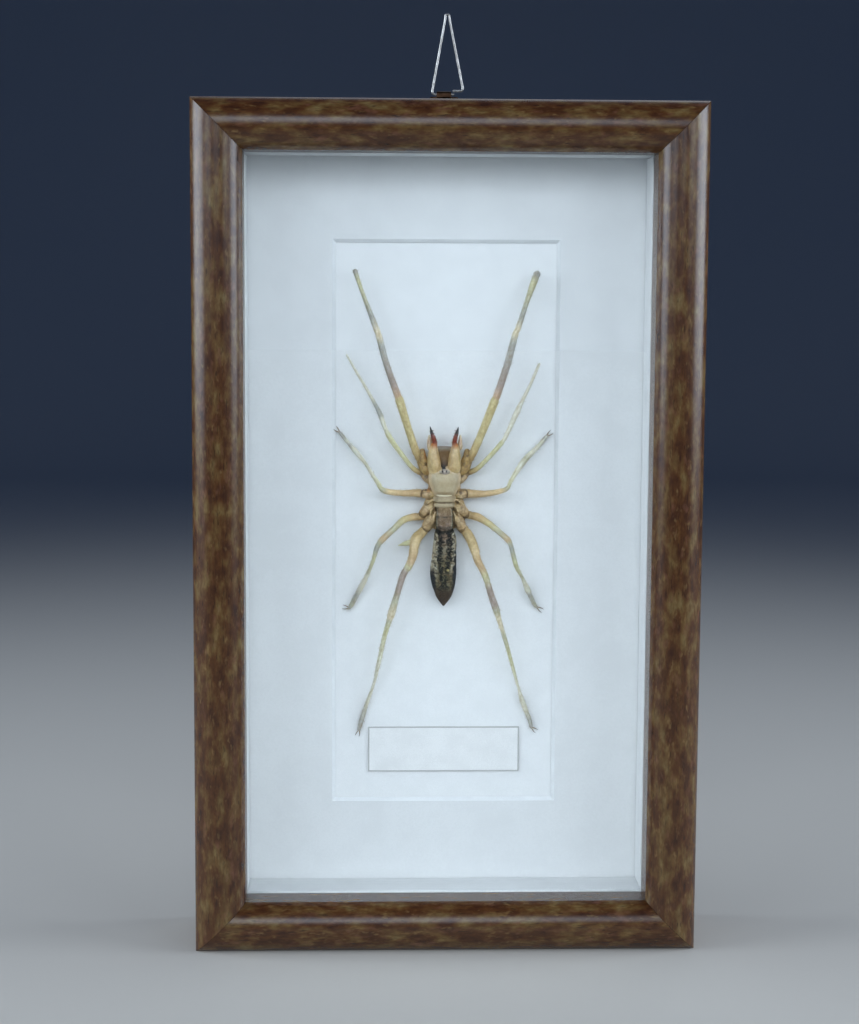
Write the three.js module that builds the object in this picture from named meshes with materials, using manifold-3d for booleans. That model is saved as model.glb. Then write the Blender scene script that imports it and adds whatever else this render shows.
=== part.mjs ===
// Framed camel spider specimen: a dried solifuge on a white card in a deep glazed wooden frame.
// Millimetres. X runs across the frame, +Y towards the wall, +Z up. The front faces -Y.
// The origin is under the middle of the frame, on the surface that its bottom edge stands on.

import * as THREE from 'three';
import { mergeVertices } from 'three/addons/utils/BufferGeometryUtils.js';
import Module from 'manifold-3d';

const wasm = await Module();
wasm.setup();

// Frame moulding
const FRAME_WIDTH = 150;
const FRAME_HEIGHT = 252;
const FRAME_DEPTH = 38;
const FACE_WIDTH = 15; // width of the moulding, seen from the front
const DOME_RISE = 5; // the rounded face stands this far in front of its own edges
const DOME_STEPS = 16;
const LIP_DEPTH = 9; // straight inner edge, from the rounded face back to the glass
const REBATE_WIDTH = 5; // step behind the lip that holds the glass and all behind it
const MITRE_GAP = 0.2;

// Clearance between pieces that touch, and how far a cut or a joint runs past a face
const GAP = 0.3;
const PAST = 1;

// Pieces stacked in the rebate, from the front
const GLASS_THICKNESS = 2;
const SPACER_DEPTH = 13;
const MAT_THICKNESS = 1.2;
const CARD_THICKNESS = 1.5;
const BACK_THICKNESS = 3;

// Window cut in the mat, with a bevel that faces the viewer
const WINDOW_WIDTH = 69;
const WINDOW_HEIGHT = 173;
const BEVEL = 1;

// Name label
const LABEL_WIDTH = 46.7;
const LABEL_HEIGHT = 14;
const LABEL_THICKNESS = 0.3;
const LABEL_Z = 55.7; // height of its middle

// Framer's points: flat steel tabs, half of each pushed into a slit in the wood
const POINT_WIDTH = 5;
const POINT_LENGTH = 7;
const POINT_THICKNESS = 0.5;
const POINT_BITE = 2;
const SIDE_POINT_HEIGHTS = [-62, 62]; // along a side moulding, from its middle

// Hanger: plate, rolled eye, screws and wire ring
const PLATE_THICKNESS = 0.4;
const PLATE_WIDTH = 9.2;
const PLATE_TOP = 3.6; // above the frame's top edge
const PLATE_BOTTOM = -8.6;
const EYE_X = -0.8;
const EYE_WIDTH = 4.4;
const EYE_RADIUS = 0.95; // outside of the rolled eye
const EYE_STEPS = 16;
const EYE_TURN = 1.6 * Math.PI; // the seam is left open
const PIVOT_RISE = 4.4; // axis of the eye above the frame's top edge
const SCREW_SPACING = 5.4;
const SCREW_Z = -4.6;
const SCREW_HEAD_RADIUS = 1.3;
const SCREW_HEAD_HEIGHT = 0.8;
const SCREW_SHANK_RADIUS = 0.6;
const SCREW_LENGTH = 6;
const WIRE_RADIUS = 0.37;
const RING_LEFT = -4.5;
const RING_RIGHT = 5.1;
const RING_HEIGHT = 23.8; // from the pivot to the middle of the wire at the apex
const RING_CORNER = 1.3;
const RING_APEX = 0.85; // half the width of the flat at the apex, before its corners are rounded
const RING_APEX_BEND = 0.8;
const BEND_STEPS = 5;
const RING_LAP_X = 1.9; // the wire's ends pass each other here
const RING_LAP = 0.4;
const RING_LAP_RISE = 1.05; // one end lies this far above the other

// Specimen
const SPIDER_X = -0.4; // middle of the head shield, in the frame
const SPIDER_Z = 138.8;
const LIMB_SIDES = 8;
const BODY_SIDES = 16;
const CLAW_LENGTH = 2.2;
const CLAW_RADIUS = 0.17;
const CLAW_SPREAD = 0.42; // radians each side of the leg's end

// Places worked out from the sizes above
const HANGER_PROUD = GAP + 2 * EYE_RADIUS;
const FRONT_Y = -(FRAME_DEPTH + HANGER_PROUD) / 2;
const WALL_Y = FRONT_Y + FRAME_DEPTH;
const GLASS_Y = FRONT_Y + DOME_RISE + LIP_DEPTH + GAP;
const SPACER_Y = GLASS_Y + GLASS_THICKNESS + GAP;
const MAT_Y = SPACER_Y + SPACER_DEPTH + GAP;
const CARD_Y = MAT_Y + MAT_THICKNESS + GAP;
const BACK_Y = CARD_Y + CARD_THICKNESS + GAP;
const POINT_Y = BACK_Y + BACK_THICKNESS + GAP;
const WALL_WIDTH = FACE_WIDTH - REBATE_WIDTH; // wood beside the rebate
const SHEET_WIDTH = FRAME_WIDTH - 2 * WALL_WIDTH - 2 * GAP;
const SHEET_HEIGHT = FRAME_HEIGHT - 2 * WALL_WIDTH - 2 * GAP;
const STRIP_WIDTH = REBATE_WIDTH - GAP;
const MIDDLE_Z = FRAME_HEIGHT / 2;
const PIVOT_Z = FRAME_HEIGHT + PIVOT_RISE;
const PIVOT_Y = WALL_Y + GAP + EYE_RADIUS;

// Materials
function plain(color, roughness, metalness = 0) {
  return new THREE.MeshStandardMaterial({ color, roughness, metalness });
}

const wood = plain(0x5c3d26, 0.35);
const clearGlass = plain(0xe8f0f2, 0.05);
clearGlass.transparent = true;
clearGlass.opacity = 0.3;
const foamBoard = plain(0xf1f2f0, 0.8);
const matBoard = plain(0xeef0ef, 0.85);
const mountCard = plain(0xf0f2f2, 0.85);
const labelPaper = plain(0xe6e4e0, 0.8);
const hardboard = plain(0x8a6a4a, 0.75);
const zincSteel = plain(0xa9abad, 0.4, 1);
const bronzedSteel = plain(0x3b2a1e, 0.4, 0.8);
const brightWire = plain(0xb8b8b6, 0.28, 1);
const shield = plain(0xaca58a, 0.55);
const cuticle = plain(0xc8bb86, 0.5);
const paleCuticle = plain(0xc3caa8, 0.5);
const jaw = plain(0xb59a66, 0.4);
const tergite = plain(0x4a4436, 0.65);

// A closed geometry from its corners and faces, turned so that its faces point out
function closedBody(corners, faces) {
  const volume = faces.reduce((sum, [a, b, c]) => {
    return sum + corners[a].dot(new THREE.Vector3().crossVectors(corners[b], corners[c]));
  }, 0);
  const geometry = new THREE.BufferGeometry().setFromPoints(corners);
  geometry.setIndex(faces.flatMap(([a, b, c]) => (volume > 0 ? [a, b, c] : [a, c, b])));
  return geometry;
}

// Walls between rings of equal count, each ring joined to the next
function ringWalls(ringCount, sides, closed = false) {
  const faces = [];
  for (let ring = 0; ring < (closed ? ringCount : ringCount - 1); ring++) {
    const next = (ring + 1) % ringCount;
    for (let i = 0; i < sides; i++) {
      const j = (i + 1) % sides;
      faces.push([ring * sides + i, ring * sides + j, next * sides + j]);
      faces.push([ring * sides + i, next * sides + j, next * sides + i]);
    }
  }
  return faces;
}

// Booleans, on closed geometries whose shared corners are merged and whose faces point out
function toSolid(geometry) {
  const bare = new THREE.BufferGeometry();
  bare.setAttribute('position', geometry.getAttribute('position'));
  bare.setIndex(geometry.getIndex());
  const merged = mergeVertices(bare, 1e-4);
  const index = merged.getIndex().array;
  const faces = [];
  for (let i = 0; i < index.length; i += 3) {
    const [a, b, c] = index.subarray(i, i + 3);
    if (a !== b && b !== c && c !== a) faces.push(a, b, c);
  }
  return new wasm.Manifold(new wasm.Mesh({
    numProp: 3,
    vertProperties: new Float32Array(merged.getAttribute('position').array),
    triVerts: new Uint32Array(faces),
  }));
}

function toGeometry(solid) {
  const { vertProperties, triVerts } = solid.getMesh();
  const geometry = new THREE.BufferGeometry();
  geometry.setAttribute('position', new THREE.BufferAttribute(vertProperties, 3));
  geometry.setIndex(new THREE.BufferAttribute(triVerts, 1));
  return geometry;
}

// The largest piece that is left of a geometry once the tools are cut from it
function cut(geometry, ...tools) {
  const rest = tools.reduce((solid, tool) => solid.subtract(toSolid(tool)), toSolid(geometry));
  const pieces = rest.decompose().sort((a, b) => b.volume() - a.volume());
  return toGeometry(pieces[0]);
}

const join = (geometry, ...more) => toGeometry(
  more.reduce((solid, other) => solid.add(toSolid(other)), toSolid(geometry)),
);

// A box by its lowest and highest corners
function boxBetween(low, high) {
  const size = high.map((value, i) => value - low[i]);
  const middle = high.map((value, i) => (value + low[i]) / 2);
  return new THREE.BoxGeometry(...size).translate(...middle);
}

// A sheet of board that lies in the rebate
function sheet(width, height, front, thickness, middleZ = MIDDLE_Z) {
  return boxBetween(
    [-width / 2, front, middleZ - height / 2],
    [width / 2, front + thickness, middleZ + height / 2],
  );
}

// Moulding section: x across the face from the outer edge, y the depth from the front
function mouldingSection() {
  const radius = (FACE_WIDTH ** 2 / 4 + DOME_RISE ** 2) / (2 * DOME_RISE);
  const halfTurn = Math.asin(FACE_WIDTH / 2 / radius);
  const section = [];
  for (let step = 0; step <= DOME_STEPS; step++) {
    const turn = halfTurn * (2 * step / DOME_STEPS - 1);
    section.push(new THREE.Vector2(
      FACE_WIDTH / 2 + radius * Math.sin(turn),
      radius * (1 - Math.cos(turn)),
    ));
  }
  section.push(new THREE.Vector2(FACE_WIDTH, DOME_RISE + LIP_DEPTH));
  section.push(new THREE.Vector2(WALL_WIDTH, DOME_RISE + LIP_DEPTH));
  section.push(new THREE.Vector2(WALL_WIDTH, FRAME_DEPTH));
  section.push(new THREE.Vector2(0, FRAME_DEPTH));
  return section;
}

// A mitred bar along X: its outer edge at z = 0, its front at y = 0
function mitredBar(length) {
  const section = mouldingSection();
  const corners = [-1, 1].flatMap((end) => section.map(
    (p) => new THREE.Vector3(end * (length / 2 - p.x - MITRE_GAP), p.y, p.x),
  ));
  const caps = THREE.ShapeUtils.triangulateShape(section, []);
  const n = section.length;
  const faces = ringWalls(2, n);
  for (const [a, b, c] of caps) {
    faces.push([a, c, b], [n + a, n + b, n + c]);
  }
  return closedBody(corners, faces);
}

// The slit in a bar for a framer's point, centred at the given place along the bar
function pointSlit(along) {
  const depth = POINT_Y - FRONT_Y;
  return boxBetween(
    [along - POINT_WIDTH / 2 - GAP, depth - GAP, WALL_WIDTH - POINT_BITE - GAP],
    [along + POINT_WIDTH / 2 + GAP, depth + POINT_THICKNESS + GAP, WALL_WIDTH + PAST],
  );
}

// A round rod along Y between two depths
function rodAlongY(radius, from, to, x, z, sides = 16) {
  return new THREE.CylinderGeometry(radius, radius, to - from, sides).translate(x, (from + to) / 2, z);
}

const screwPlaces = [-1, 1].map((side) => EYE_X + side * SCREW_SPACING / 2);

// Mouldings, drawn in the bar's own frame and then turned into place
function frameBars() {
  const side = () => cut(mitredBar(FRAME_HEIGHT), ...SIDE_POINT_HEIGHTS.map(pointSlit));
  const end = () => cut(mitredBar(FRAME_WIDTH), pointSlit(0));
  // The top bar is turned upside down, so places across and up it are negative here
  const bores = screwPlaces.map((x) => rodAlongY(
    SCREW_SHANK_RADIUS + GAP, FRAME_DEPTH - SCREW_LENGTH, FRAME_DEPTH + PAST, -x, -SCREW_Z,
  ));
  return [
    { name: 'frame_bottom', geometry: end(), turn: 0, at: [0, 0] },
    { name: 'frame_top', geometry: cut(end(), ...bores), turn: Math.PI, at: [0, FRAME_HEIGHT] },
    { name: 'frame_left', geometry: side(), turn: Math.PI / 2, at: [-FRAME_WIDTH / 2, MIDDLE_Z] },
    { name: 'frame_right', geometry: side(), turn: -Math.PI / 2, at: [FRAME_WIDTH / 2, MIDDLE_Z] },
  ];
}

// White strips between the glass and the mat
function spacers() {
  const x = SHEET_WIDTH / 2;
  const low = WALL_WIDTH + GAP;
  const high = FRAME_HEIGHT - low;
  const strip = (x0, x1, z0, z1) => boxBetween([x0, SPACER_Y, z0], [x1, SPACER_Y + SPACER_DEPTH, z1]);
  const sideLow = low + STRIP_WIDTH + GAP;
  const sideHigh = high - STRIP_WIDTH - GAP;
  return {
    spacer_bottom: strip(-x, x, low, low + STRIP_WIDTH),
    spacer_top: strip(-x, x, high - STRIP_WIDTH, high),
    spacer_left: strip(-x, -x + STRIP_WIDTH, sideLow, sideHigh),
    spacer_right: strip(x - STRIP_WIDTH, x, sideLow, sideHigh),
  };
}

// The mat: four square loops, outer front, outer back, window back, window front
function windowMat() {
  const loop = (width, height, y) => [[-1, -1], [1, -1], [1, 1], [-1, 1]].map(
    ([sx, sz]) => new THREE.Vector3(sx * width / 2, y, MIDDLE_Z + sz * height / 2),
  );
  const back = MAT_Y + MAT_THICKNESS;
  const corners = [
    ...loop(SHEET_WIDTH, SHEET_HEIGHT, MAT_Y),
    ...loop(SHEET_WIDTH, SHEET_HEIGHT, back),
    ...loop(WINDOW_WIDTH - 2 * BEVEL, WINDOW_HEIGHT - 2 * BEVEL, back),
    ...loop(WINDOW_WIDTH, WINDOW_HEIGHT, MAT_Y),
  ];
  return closedBody(corners, ringWalls(4, 4, true));
}

// One framer's point, by the middle of its edge at the rebate wall and the way it points
function framersPoint(x, z, inward) {
  const outline = new THREE.Shape([
    new THREE.Vector2(-POINT_WIDTH / 2, -POINT_BITE),
    new THREE.Vector2(POINT_WIDTH / 2, -POINT_BITE),
    new THREE.Vector2(POINT_WIDTH / 2, POINT_LENGTH - POINT_BITE - POINT_WIDTH / 2),
    new THREE.Vector2(0, POINT_LENGTH - POINT_BITE),
    new THREE.Vector2(-POINT_WIDTH / 2, POINT_LENGTH - POINT_BITE - POINT_WIDTH / 2),
  ]);
  return new THREE.ExtrudeGeometry(outline, { depth: POINT_THICKNESS, bevelEnabled: false })
    .rotateX(Math.PI / 2)
    .translate(0, POINT_THICKNESS, 0)
    .rotateY(inward)
    .translate(x, POINT_Y, z);
}

function framersPoints() {
  const wallX = FRAME_WIDTH / 2 - WALL_WIDTH;
  const points = {
    point_bottom: framersPoint(0, WALL_WIDTH, 0),
    point_top: framersPoint(0, FRAME_HEIGHT - WALL_WIDTH, Math.PI),
  };
  for (const [place, height] of [['lower', SIDE_POINT_HEIGHTS[0]], ['upper', SIDE_POINT_HEIGHTS[1]]]) {
    points[`point_left_${place}`] = framersPoint(-wallX, MIDDLE_Z + height, Math.PI / 2);
    points[`point_right_${place}`] = framersPoint(wallX, MIDDLE_Z + height, -Math.PI / 2);
  }
  return points;
}

// Hanger plate with its tongue rolled into an eye, open at its seam
function hangerPlate() {
  const plate = boxBetween(
    [EYE_X - PLATE_WIDTH / 2, WALL_Y + GAP, FRAME_HEIGHT + PLATE_BOTTOM],
    [EYE_X + PLATE_WIDTH / 2, WALL_Y + GAP + PLATE_THICKNESS, FRAME_HEIGHT + PLATE_TOP],
  );
  const holes = screwPlaces.map((x) => rodAlongY(
    SCREW_SHANK_RADIUS + GAP, WALL_Y, WALL_Y + GAP + PLATE_THICKNESS + PAST, x, FRAME_HEIGHT + SCREW_Z,
  ));
  // The tongue's side view, x its depth and y its height: up the front of the eye and round
  const inner = EYE_RADIUS - PLATE_THICKNESS;
  const arc = (radius, step) => {
    const turn = Math.PI - (step / EYE_STEPS) * EYE_TURN;
    return new THREE.Vector2(radius * Math.cos(turn), radius * Math.sin(turn));
  };
  const steps = [...Array(EYE_STEPS + 1).keys()];
  const foot = PLATE_TOP - PIVOT_RISE - PAST;
  const outline = [
    new THREE.Vector2(-EYE_RADIUS, foot),
    ...steps.map((step) => arc(EYE_RADIUS, step)),
    ...steps.toReversed().map((step) => arc(inner, step)),
    new THREE.Vector2(-inner, foot),
  ];
  const alongX = new THREE.Matrix4().makeBasis(
    new THREE.Vector3(0, 1, 0), new THREE.Vector3(0, 0, 1), new THREE.Vector3(1, 0, 0),
  );
  const tongue = new THREE.ExtrudeGeometry(new THREE.Shape(outline), {
    depth: EYE_WIDTH,
    bevelEnabled: false,
  });
  tongue.applyMatrix4(alongX)
    .translate(EYE_X - EYE_WIDTH / 2, PIVOT_Y, PIVOT_Z);
  return join(cut(plate, ...holes), tongue);
}

function hangerScrew(x) {
  const z = FRAME_HEIGHT + SCREW_Z;
  const underHead = WALL_Y + GAP + PLATE_THICKNESS + GAP;
  const dome = [0, 1, 2, 3].map((step) => new THREE.Vector2(
    SCREW_HEAD_RADIUS * Math.cos(step * Math.PI / 6),
    SCREW_HEAD_HEIGHT * Math.sin(step * Math.PI / 6),
  ));
  const head = new THREE.LatheGeometry([new THREE.Vector2(0, 0), ...dome], 16).translate(x, underHead, z);
  const shankEnd = WALL_Y - SCREW_LENGTH + 2 * GAP;
  return join(head, rodAlongY(SCREW_SHANK_RADIUS, shankEnd, underHead + SCREW_HEAD_HEIGHT / 2, x, z, 12));
}

// A closed tapering tube. Each station is [x, z, height, half width, half thickness].
// Heights run towards the viewer, and the tube's width lies across them.
function sweep(stations, sides, grow = 0) {
  const towardsViewer = new THREE.Vector3(0, -1, 0);
  const centres = stations.map(([x, z, height]) => new THREE.Vector3(x, -height, z));
  const corners = [];
  const last = stations.length - 1;
  const heading = (i) => new THREE.Vector3()
    .subVectors(centres[Math.min(i + 1, last)], centres[Math.max(i - 1, 0)])
    .normalize();
  stations.forEach(([, , , wide, tall = wide], i) => {
    const along = heading(i);
    const across = new THREE.Vector3().crossVectors(along, towardsViewer).normalize();
    const up = new THREE.Vector3().crossVectors(across, along);
    const push = i === 0 ? -grow : i === last ? grow : 0;
    for (let k = 0; k < sides; k++) {
      const turn = (k / sides) * 2 * Math.PI;
      corners.push(centres[i].clone()
        .addScaledVector(along, push)
        .addScaledVector(across, (wide + grow) * Math.cos(turn))
        .addScaledVector(up, (tall + grow) * Math.sin(turn)));
    }
  });
  const faces = ringWalls(stations.length, sides);
  for (const [ring, flip] of [[0, false], [last, true]]) {
    for (let k = 1; k < sides - 1; k++) {
      const face = [ring * sides, ring * sides + k + 1, ring * sides + k];
      faces.push(flip ? face.reverse() : face);
    }
  }
  return closedBody(corners, faces);
}

// The ring's wire, as places along its middle line, with its corners rounded
function ringPath() {
  const apexX = (RING_LEFT + RING_RIGHT) / 2;
  const corners = [
    { x: RING_LAP_X + RING_LAP, z: 0 },
    { x: RING_LEFT, z: 0, r: RING_CORNER },
    { x: apexX - RING_APEX, z: RING_HEIGHT, r: RING_APEX_BEND },
    { x: apexX + RING_APEX, z: RING_HEIGHT, r: RING_APEX_BEND },
    { x: RING_RIGHT, z: RING_LAP_RISE, r: RING_CORNER },
    { x: RING_LAP_X, z: RING_LAP_RISE },
  ].map(({ x, z, r = 0 }) => ({ at: new THREE.Vector2(x, z), r }));
  const path = [];
  corners.forEach(({ at, r }, i) => {
    if (!r) {
      path.push(at);
      return;
    }
    const back = corners[i - 1].at.clone().sub(at).normalize().multiplyScalar(r);
    const on = corners[i + 1].at.clone().sub(at).normalize().multiplyScalar(r);
    const bend = new THREE.QuadraticBezierCurve(at.clone().add(back), at, at.clone().add(on));
    path.push(...bend.getPoints(BEND_STEPS));
  });
  return path;
}

function hangerRing() {
  const path = ringPath().map(({ x, y }) => [x, y, 0, WIRE_RADIUS]);
  return sweep(path, 8).translate(0, PIVOT_Y, PIVOT_Z);
}

// Specimen, seen from above its back. Stations are [x, z, height above the card, half width, half thickness],
// in the specimen's own frame, whose middle is the middle of the head shield.

// Head shield and the two free plates behind it
const SHIELD = [
  [0, 4.3, 5.6, 2.0, 1.6],
  [0, 3.7, 5.6, 4.5, 2.3],
  [0, 1.6, 5.6, 4.9, 3.0],
  [0, -0.6, 5.5, 4.4, 3.0],
  [0, -2.8, 5.3, 3.7, 2.8],
  [0, -3.6, 5.2, 3.4, 2.5],
  [0, -4.2, 5.2, 3.5, 2.7],
  [0, -5.6, 5.0, 3.4, 2.6],
  [0, -6.6, 4.8, 2.9, 2.3],
];

// Leg bases packed together below the plates
const LEG_BASES = [
  [0, 6.4, 2.6, 4.2, 1.4],
  [0, 4.0, 2.8, 5.0, 2.3],
  [0, 0.0, 2.8, 4.9, 2.4],
  [0, -2.8, 2.8, 5.2, 2.4],
  [0, -5.4, 2.8, 5.9, 2.4],
  [0, -8.0, 2.8, 6.8, 2.4],
  [0, -10.4, 2.7, 6.7, 2.2],
  [0, -12.6, 2.5, 5.2, 1.9],
  [0, -14.2, 2.3, 2.6, 1.3],
];

const ABDOMEN = [
  [0, -6.9, 6.3, 2.2, 1.0],
  [0, -9.4, 6.3, 2.5, 1.6],
  [0, -12.4, 5.8, 2.6, 2.0],
  [0, -13.4, 5.4, 2.5, 2.1],
  [0.1, -15.2, 4.8, 3.1, 2.6],
  [0.3, -17.4, 4.3, 3.5, 3.0],
  [0.1, -20.2, 4.1, 3.6, 3.1],
  [0, -23.3, 4.0, 3.8, 3.1],
  [-0.2, -27.2, 3.8, 4.0, 3.0],
  [-0.1, -30.2, 3.6, 3.7, 2.8],
  [0, -32.4, 3.4, 3.2, 2.5],
  [0, -34.8, 3.2, 2.3, 1.8],
  [0, -36.4, 3.0, 1.3, 1.1],
  [0, -37.4, 2.9, 0.4, 0.4],
];

// Each jaw: its swollen base, then the upper finger
const CHELICERA = {
  left: [
    [-2.7, 3.9, 5.3, 2.0, 2.2],
    [-3.1, 5.2, 5.4, 2.1, 2.6],
    [-3.4, 8.0, 5.4, 1.9, 2.5],
    [-3.4, 10.4, 5.5, 1.4, 1.9],
    [-3.3, 11.8, 5.7, 1.0, 1.2],
    [-3.1, 12.6, 5.9, 0.75],
    [-3.5, 14.2, 6.1, 0.62],
    [-4.1, 15.8, 6.0, 0.45],
    [-4.5, 17.4, 5.6, 0.12],
  ],
  right: [
    [2.4, 3.9, 5.3, 2.0, 2.2],
    [2.8, 5.2, 5.4, 2.1, 2.6],
    [3.0, 8.0, 5.4, 1.9, 2.5],
    [3.1, 10.4, 5.5, 1.4, 1.9],
    [3.1, 11.8, 5.7, 0.95, 1.2],
    [2.9, 12.6, 5.9, 0.7],
    [3.2, 14.2, 6.1, 0.6],
    [3.7, 15.8, 6.0, 0.42],
    [4.0, 17.3, 5.6, 0.12],
  ],
};

// The lower, moving finger starts inside the jaw's base and closes on the upper one
const LOWER_FINGER = {
  left: [[-3.4, 9.0, 4.2, 0.8], [-3.4, 12.6, 3.6, 0.7], [-3.9, 15.0, 4.0, 0.45], [-4.3, 16.6, 4.7, 0.12]],
  right: [[3.1, 9.0, 4.2, 0.8], [3.0, 12.6, 3.6, 0.7], [3.4, 15.0, 4.0, 0.45], [3.8, 16.6, 4.7, 0.12]],
};

const PEDIPALP = {
  left: [
    [-3.6, 1.5, 3.2, 1.1],
    [-6.5, 6.5, 3.6, 1.2],
    [-8.5, 9.3, 4.4, 1.2],
    [-11.5, 18.0, 6.4, 1.15],
    [-13.9, 25.7, 7.6, 1.3],
    [-14.5, 27.3, 7.7, 1.1],
    [-17.8, 36.3, 7.6, 0.95],
    [-20.0, 44.4, 7.0, 0.95],
    [-20.6, 46.2, 6.8, 0.95],
    [-24.0, 54.9, 5.8, 0.65],
    [-26.2, 60.9, 5.1, 0.6],
    [-27.2, 63.9, 4.8, 0.8],
  ],
  right: [
    [3.8, 1.9, 3.2, 1.1],
    [6.6, 6.5, 3.6, 1.25],
    [8.4, 9.0, 4.4, 1.2],
    [11.8, 17.3, 6.4, 1.2],
    [14.8, 25.3, 7.6, 1.3],
    [15.5, 27.0, 7.7, 1.1],
    [18.6, 36.6, 7.6, 1.05],
    [20.9, 45.4, 7.0, 0.95],
    [21.7, 47.1, 6.8, 0.85],
    [24.3, 54.9, 5.8, 0.75],
    [26.3, 60.5, 5.1, 1.0],
    [27.4, 63.4, 4.8, 1.1],
  ],
};

const LEG_1 = {
  left: [
    [-2.8, -0.6, 2.6, 0.9],
    [-6.2, 2.6, 2.8, 1.0],
    [-9.4, 4.5, 3.8, 0.75],
    [-12.6, 8.4, 5.2, 0.7],
    [-16.5, 13.8, 6.0, 0.8],
    [-18.4, 17.7, 6.0, 0.65],
    [-19.5, 20.9, 5.6, 0.75],
    [-21.4, 24.6, 5.0, 0.55],
    [-23.6, 28.5, 4.4, 0.45],
    [-26.7, 33.6, 3.8, 0.38],
    [-29.7, 38.8, 3.2, 0.3],
  ],
  right: [
    [2.8, -0.4, 2.6, 0.9],
    [6.4, 2.8, 2.8, 1.0],
    [9.7, 4.4, 3.8, 0.75],
    [13.5, 8.3, 5.2, 0.7],
    [16.8, 12.2, 6.0, 0.7],
    [18.5, 14.8, 6.0, 0.62],
    [22.2, 22.8, 5.0, 0.85],
    [23.1, 24.7, 4.8, 0.6],
    [26.0, 30.5, 4.0, 0.45],
    [28.5, 36.3, 3.2, 0.4],
  ],
};

const LEG_2 = {
  left: [
    [-3.0, -3.6, 2.6, 1.1],
    [-6.0, -3.2, 3.0, 1.4],
    [-9.0, -2.9, 4.0, 1.15],
    [-13.0, -2.8, 5.4, 0.95],
    [-18.4, -1.9, 6.6, 0.85],
    [-20.4, 0.6, 6.2, 0.65],
    [-22.5, 3.7, 5.2, 0.55],
    [-24.0, 6.1, 4.2, 0.5],
    [-26.6, 9.2, 3.0, 0.8],
    [-28.7, 11.5, 2.0, 0.6],
    [-30.7, 13.9, 1.2, 0.55],
    [-31.9, 15.3, 0.9, 0.4],
  ],
  right: [
    [3.0, -3.6, 2.6, 1.1],
    [6.0, -3.1, 3.0, 1.5],
    [9.0, -3.1, 4.0, 1.2],
    [13.6, -2.8, 5.4, 0.92],
    [18.6, -1.4, 6.6, 0.7],
    [20.1, 1.1, 6.2, 0.58],
    [22.6, 4.9, 5.0, 0.85],
    [25.0, 7.9, 3.8, 0.9],
    [28.4, 11.0, 2.0, 0.65],
    [30.7, 13.7, 1.2, 0.6],
    [31.3, 14.4, 1.0, 0.45],
  ],
};

const LEG_3 = {
  left: [
    [-3.6, -8.6, 2.6, 1.1],
    [-7.0, -10.1, 3.0, 1.3],
    [-9.7, -10.3, 4.0, 1.1],
    [-12.5, -11.1, 5.0, 1.0],
    [-15.5, -13.8, 6.0, 0.9],
    [-19.0, -17.0, 6.8, 0.95],
    [-20.5, -19.4, 6.6, 0.78],
    [-21.6, -23.3, 5.6, 0.58],
    [-23.0, -27.0, 4.4, 0.6],
    [-24.5, -30.4, 3.2, 0.8],
    [-26.6, -34.5, 1.8, 0.78],
    [-28.1, -37.6, 1.1, 0.68],
    [-28.9, -38.7, 0.9, 0.5],
  ],
  right: [
    [3.6, -8.4, 2.6, 1.1],
    [7.2, -9.6, 3.0, 1.2],
    [10.4, -10.3, 4.2, 1.2],
    [13.7, -12.2, 5.2, 0.97],
    [17.0, -14.8, 6.2, 0.88],
    [19.5, -17.1, 6.8, 0.88],
    [20.4, -19.1, 6.6, 0.7],
    [22.0, -25.0, 5.2, 0.7],
    [23.9, -28.6, 4.0, 0.5],
    [25.6, -32.2, 2.6, 0.88],
    [26.6, -34.4, 1.9, 0.75],
    [28.2, -37.7, 1.0, 0.6],
    [28.9, -38.5, 0.9, 0.45],
  ],
};

const LEG_4 = {
  left: [
    [-1.6, -10.0, 2.4, 1.2],
    [-4.6, -12.9, 2.8, 1.45],
    [-6.7, -15.0, 3.6, 1.45],
    [-8.7, -17.3, 4.6, 1.65],
    [-9.6, -22.0, 5.8, 1.3],
    [-10.9, -25.1, 6.6, 1.15],
    [-12.6, -27.9, 7.0, 1.0],
    [-14.6, -34.5, 7.2, 0.95],
    [-16.1, -39.8, 7.0, 1.15],
    [-16.9, -42.4, 6.7, 0.8],
    [-18.3, -47.6, 5.8, 0.7],
    [-20.0, -56.0, 4.2, 0.62],
    [-21.4, -62.4, 2.6, 0.42],
    [-23.3, -68.0, 1.4, 0.55],
    [-25.0, -73.6, 0.95, 0.75],
    [-25.8, -76.8, 0.9, 0.55],
  ],
  right: [
    [1.6, -9.8, 2.4, 1.2],
    [4.8, -12.8, 2.8, 1.45],
    [7.6, -16.1, 4.0, 1.5],
    [9.2, -19.9, 5.2, 1.4],
    [10.2, -23.3, 6.2, 1.15],
    [12.4, -27.6, 7.0, 1.0],
    [14.3, -33.7, 7.2, 1.0],
    [15.9, -38.2, 7.0, 1.1],
    [16.9, -41.6, 6.7, 0.75],
    [19.0, -48.3, 5.8, 0.65],
    [21.4, -56.6, 4.0, 0.52],
    [23.4, -63.6, 2.4, 0.4],
    [24.4, -67.0, 1.7, 0.75],
    [25.7, -70.5, 1.2, 0.75],
    [27.0, -73.8, 0.95, 0.65],
    [27.6, -76.2, 0.9, 0.5],
  ],
};

// A torn flap of membrane stands out from the left hind leg's second joint
const LEFT_FLAP = [
  [-8.7, -17.6, 4.8, 1.0, 0.5],
  [-11.4, -18.2, 4.8, 0.8, 0.4],
  [-14.0, -18.9, 4.6, 0.12, 0.12],
];

const LEGS = [LEG_1, LEG_2, LEG_3, LEG_4];

// Which way each leg's claws point, as [x, z]. Leg 1 is a feeler and has none.
const CLAW_WAYS = [
  {},
  { left: [-0.7, 0.7], right: [0.75, 0.65] },
  { left: [-1, 0.15], right: [0.85, -0.55] },
  { left: [-0.3, -1], right: [0.85, -0.65] },
];

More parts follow.
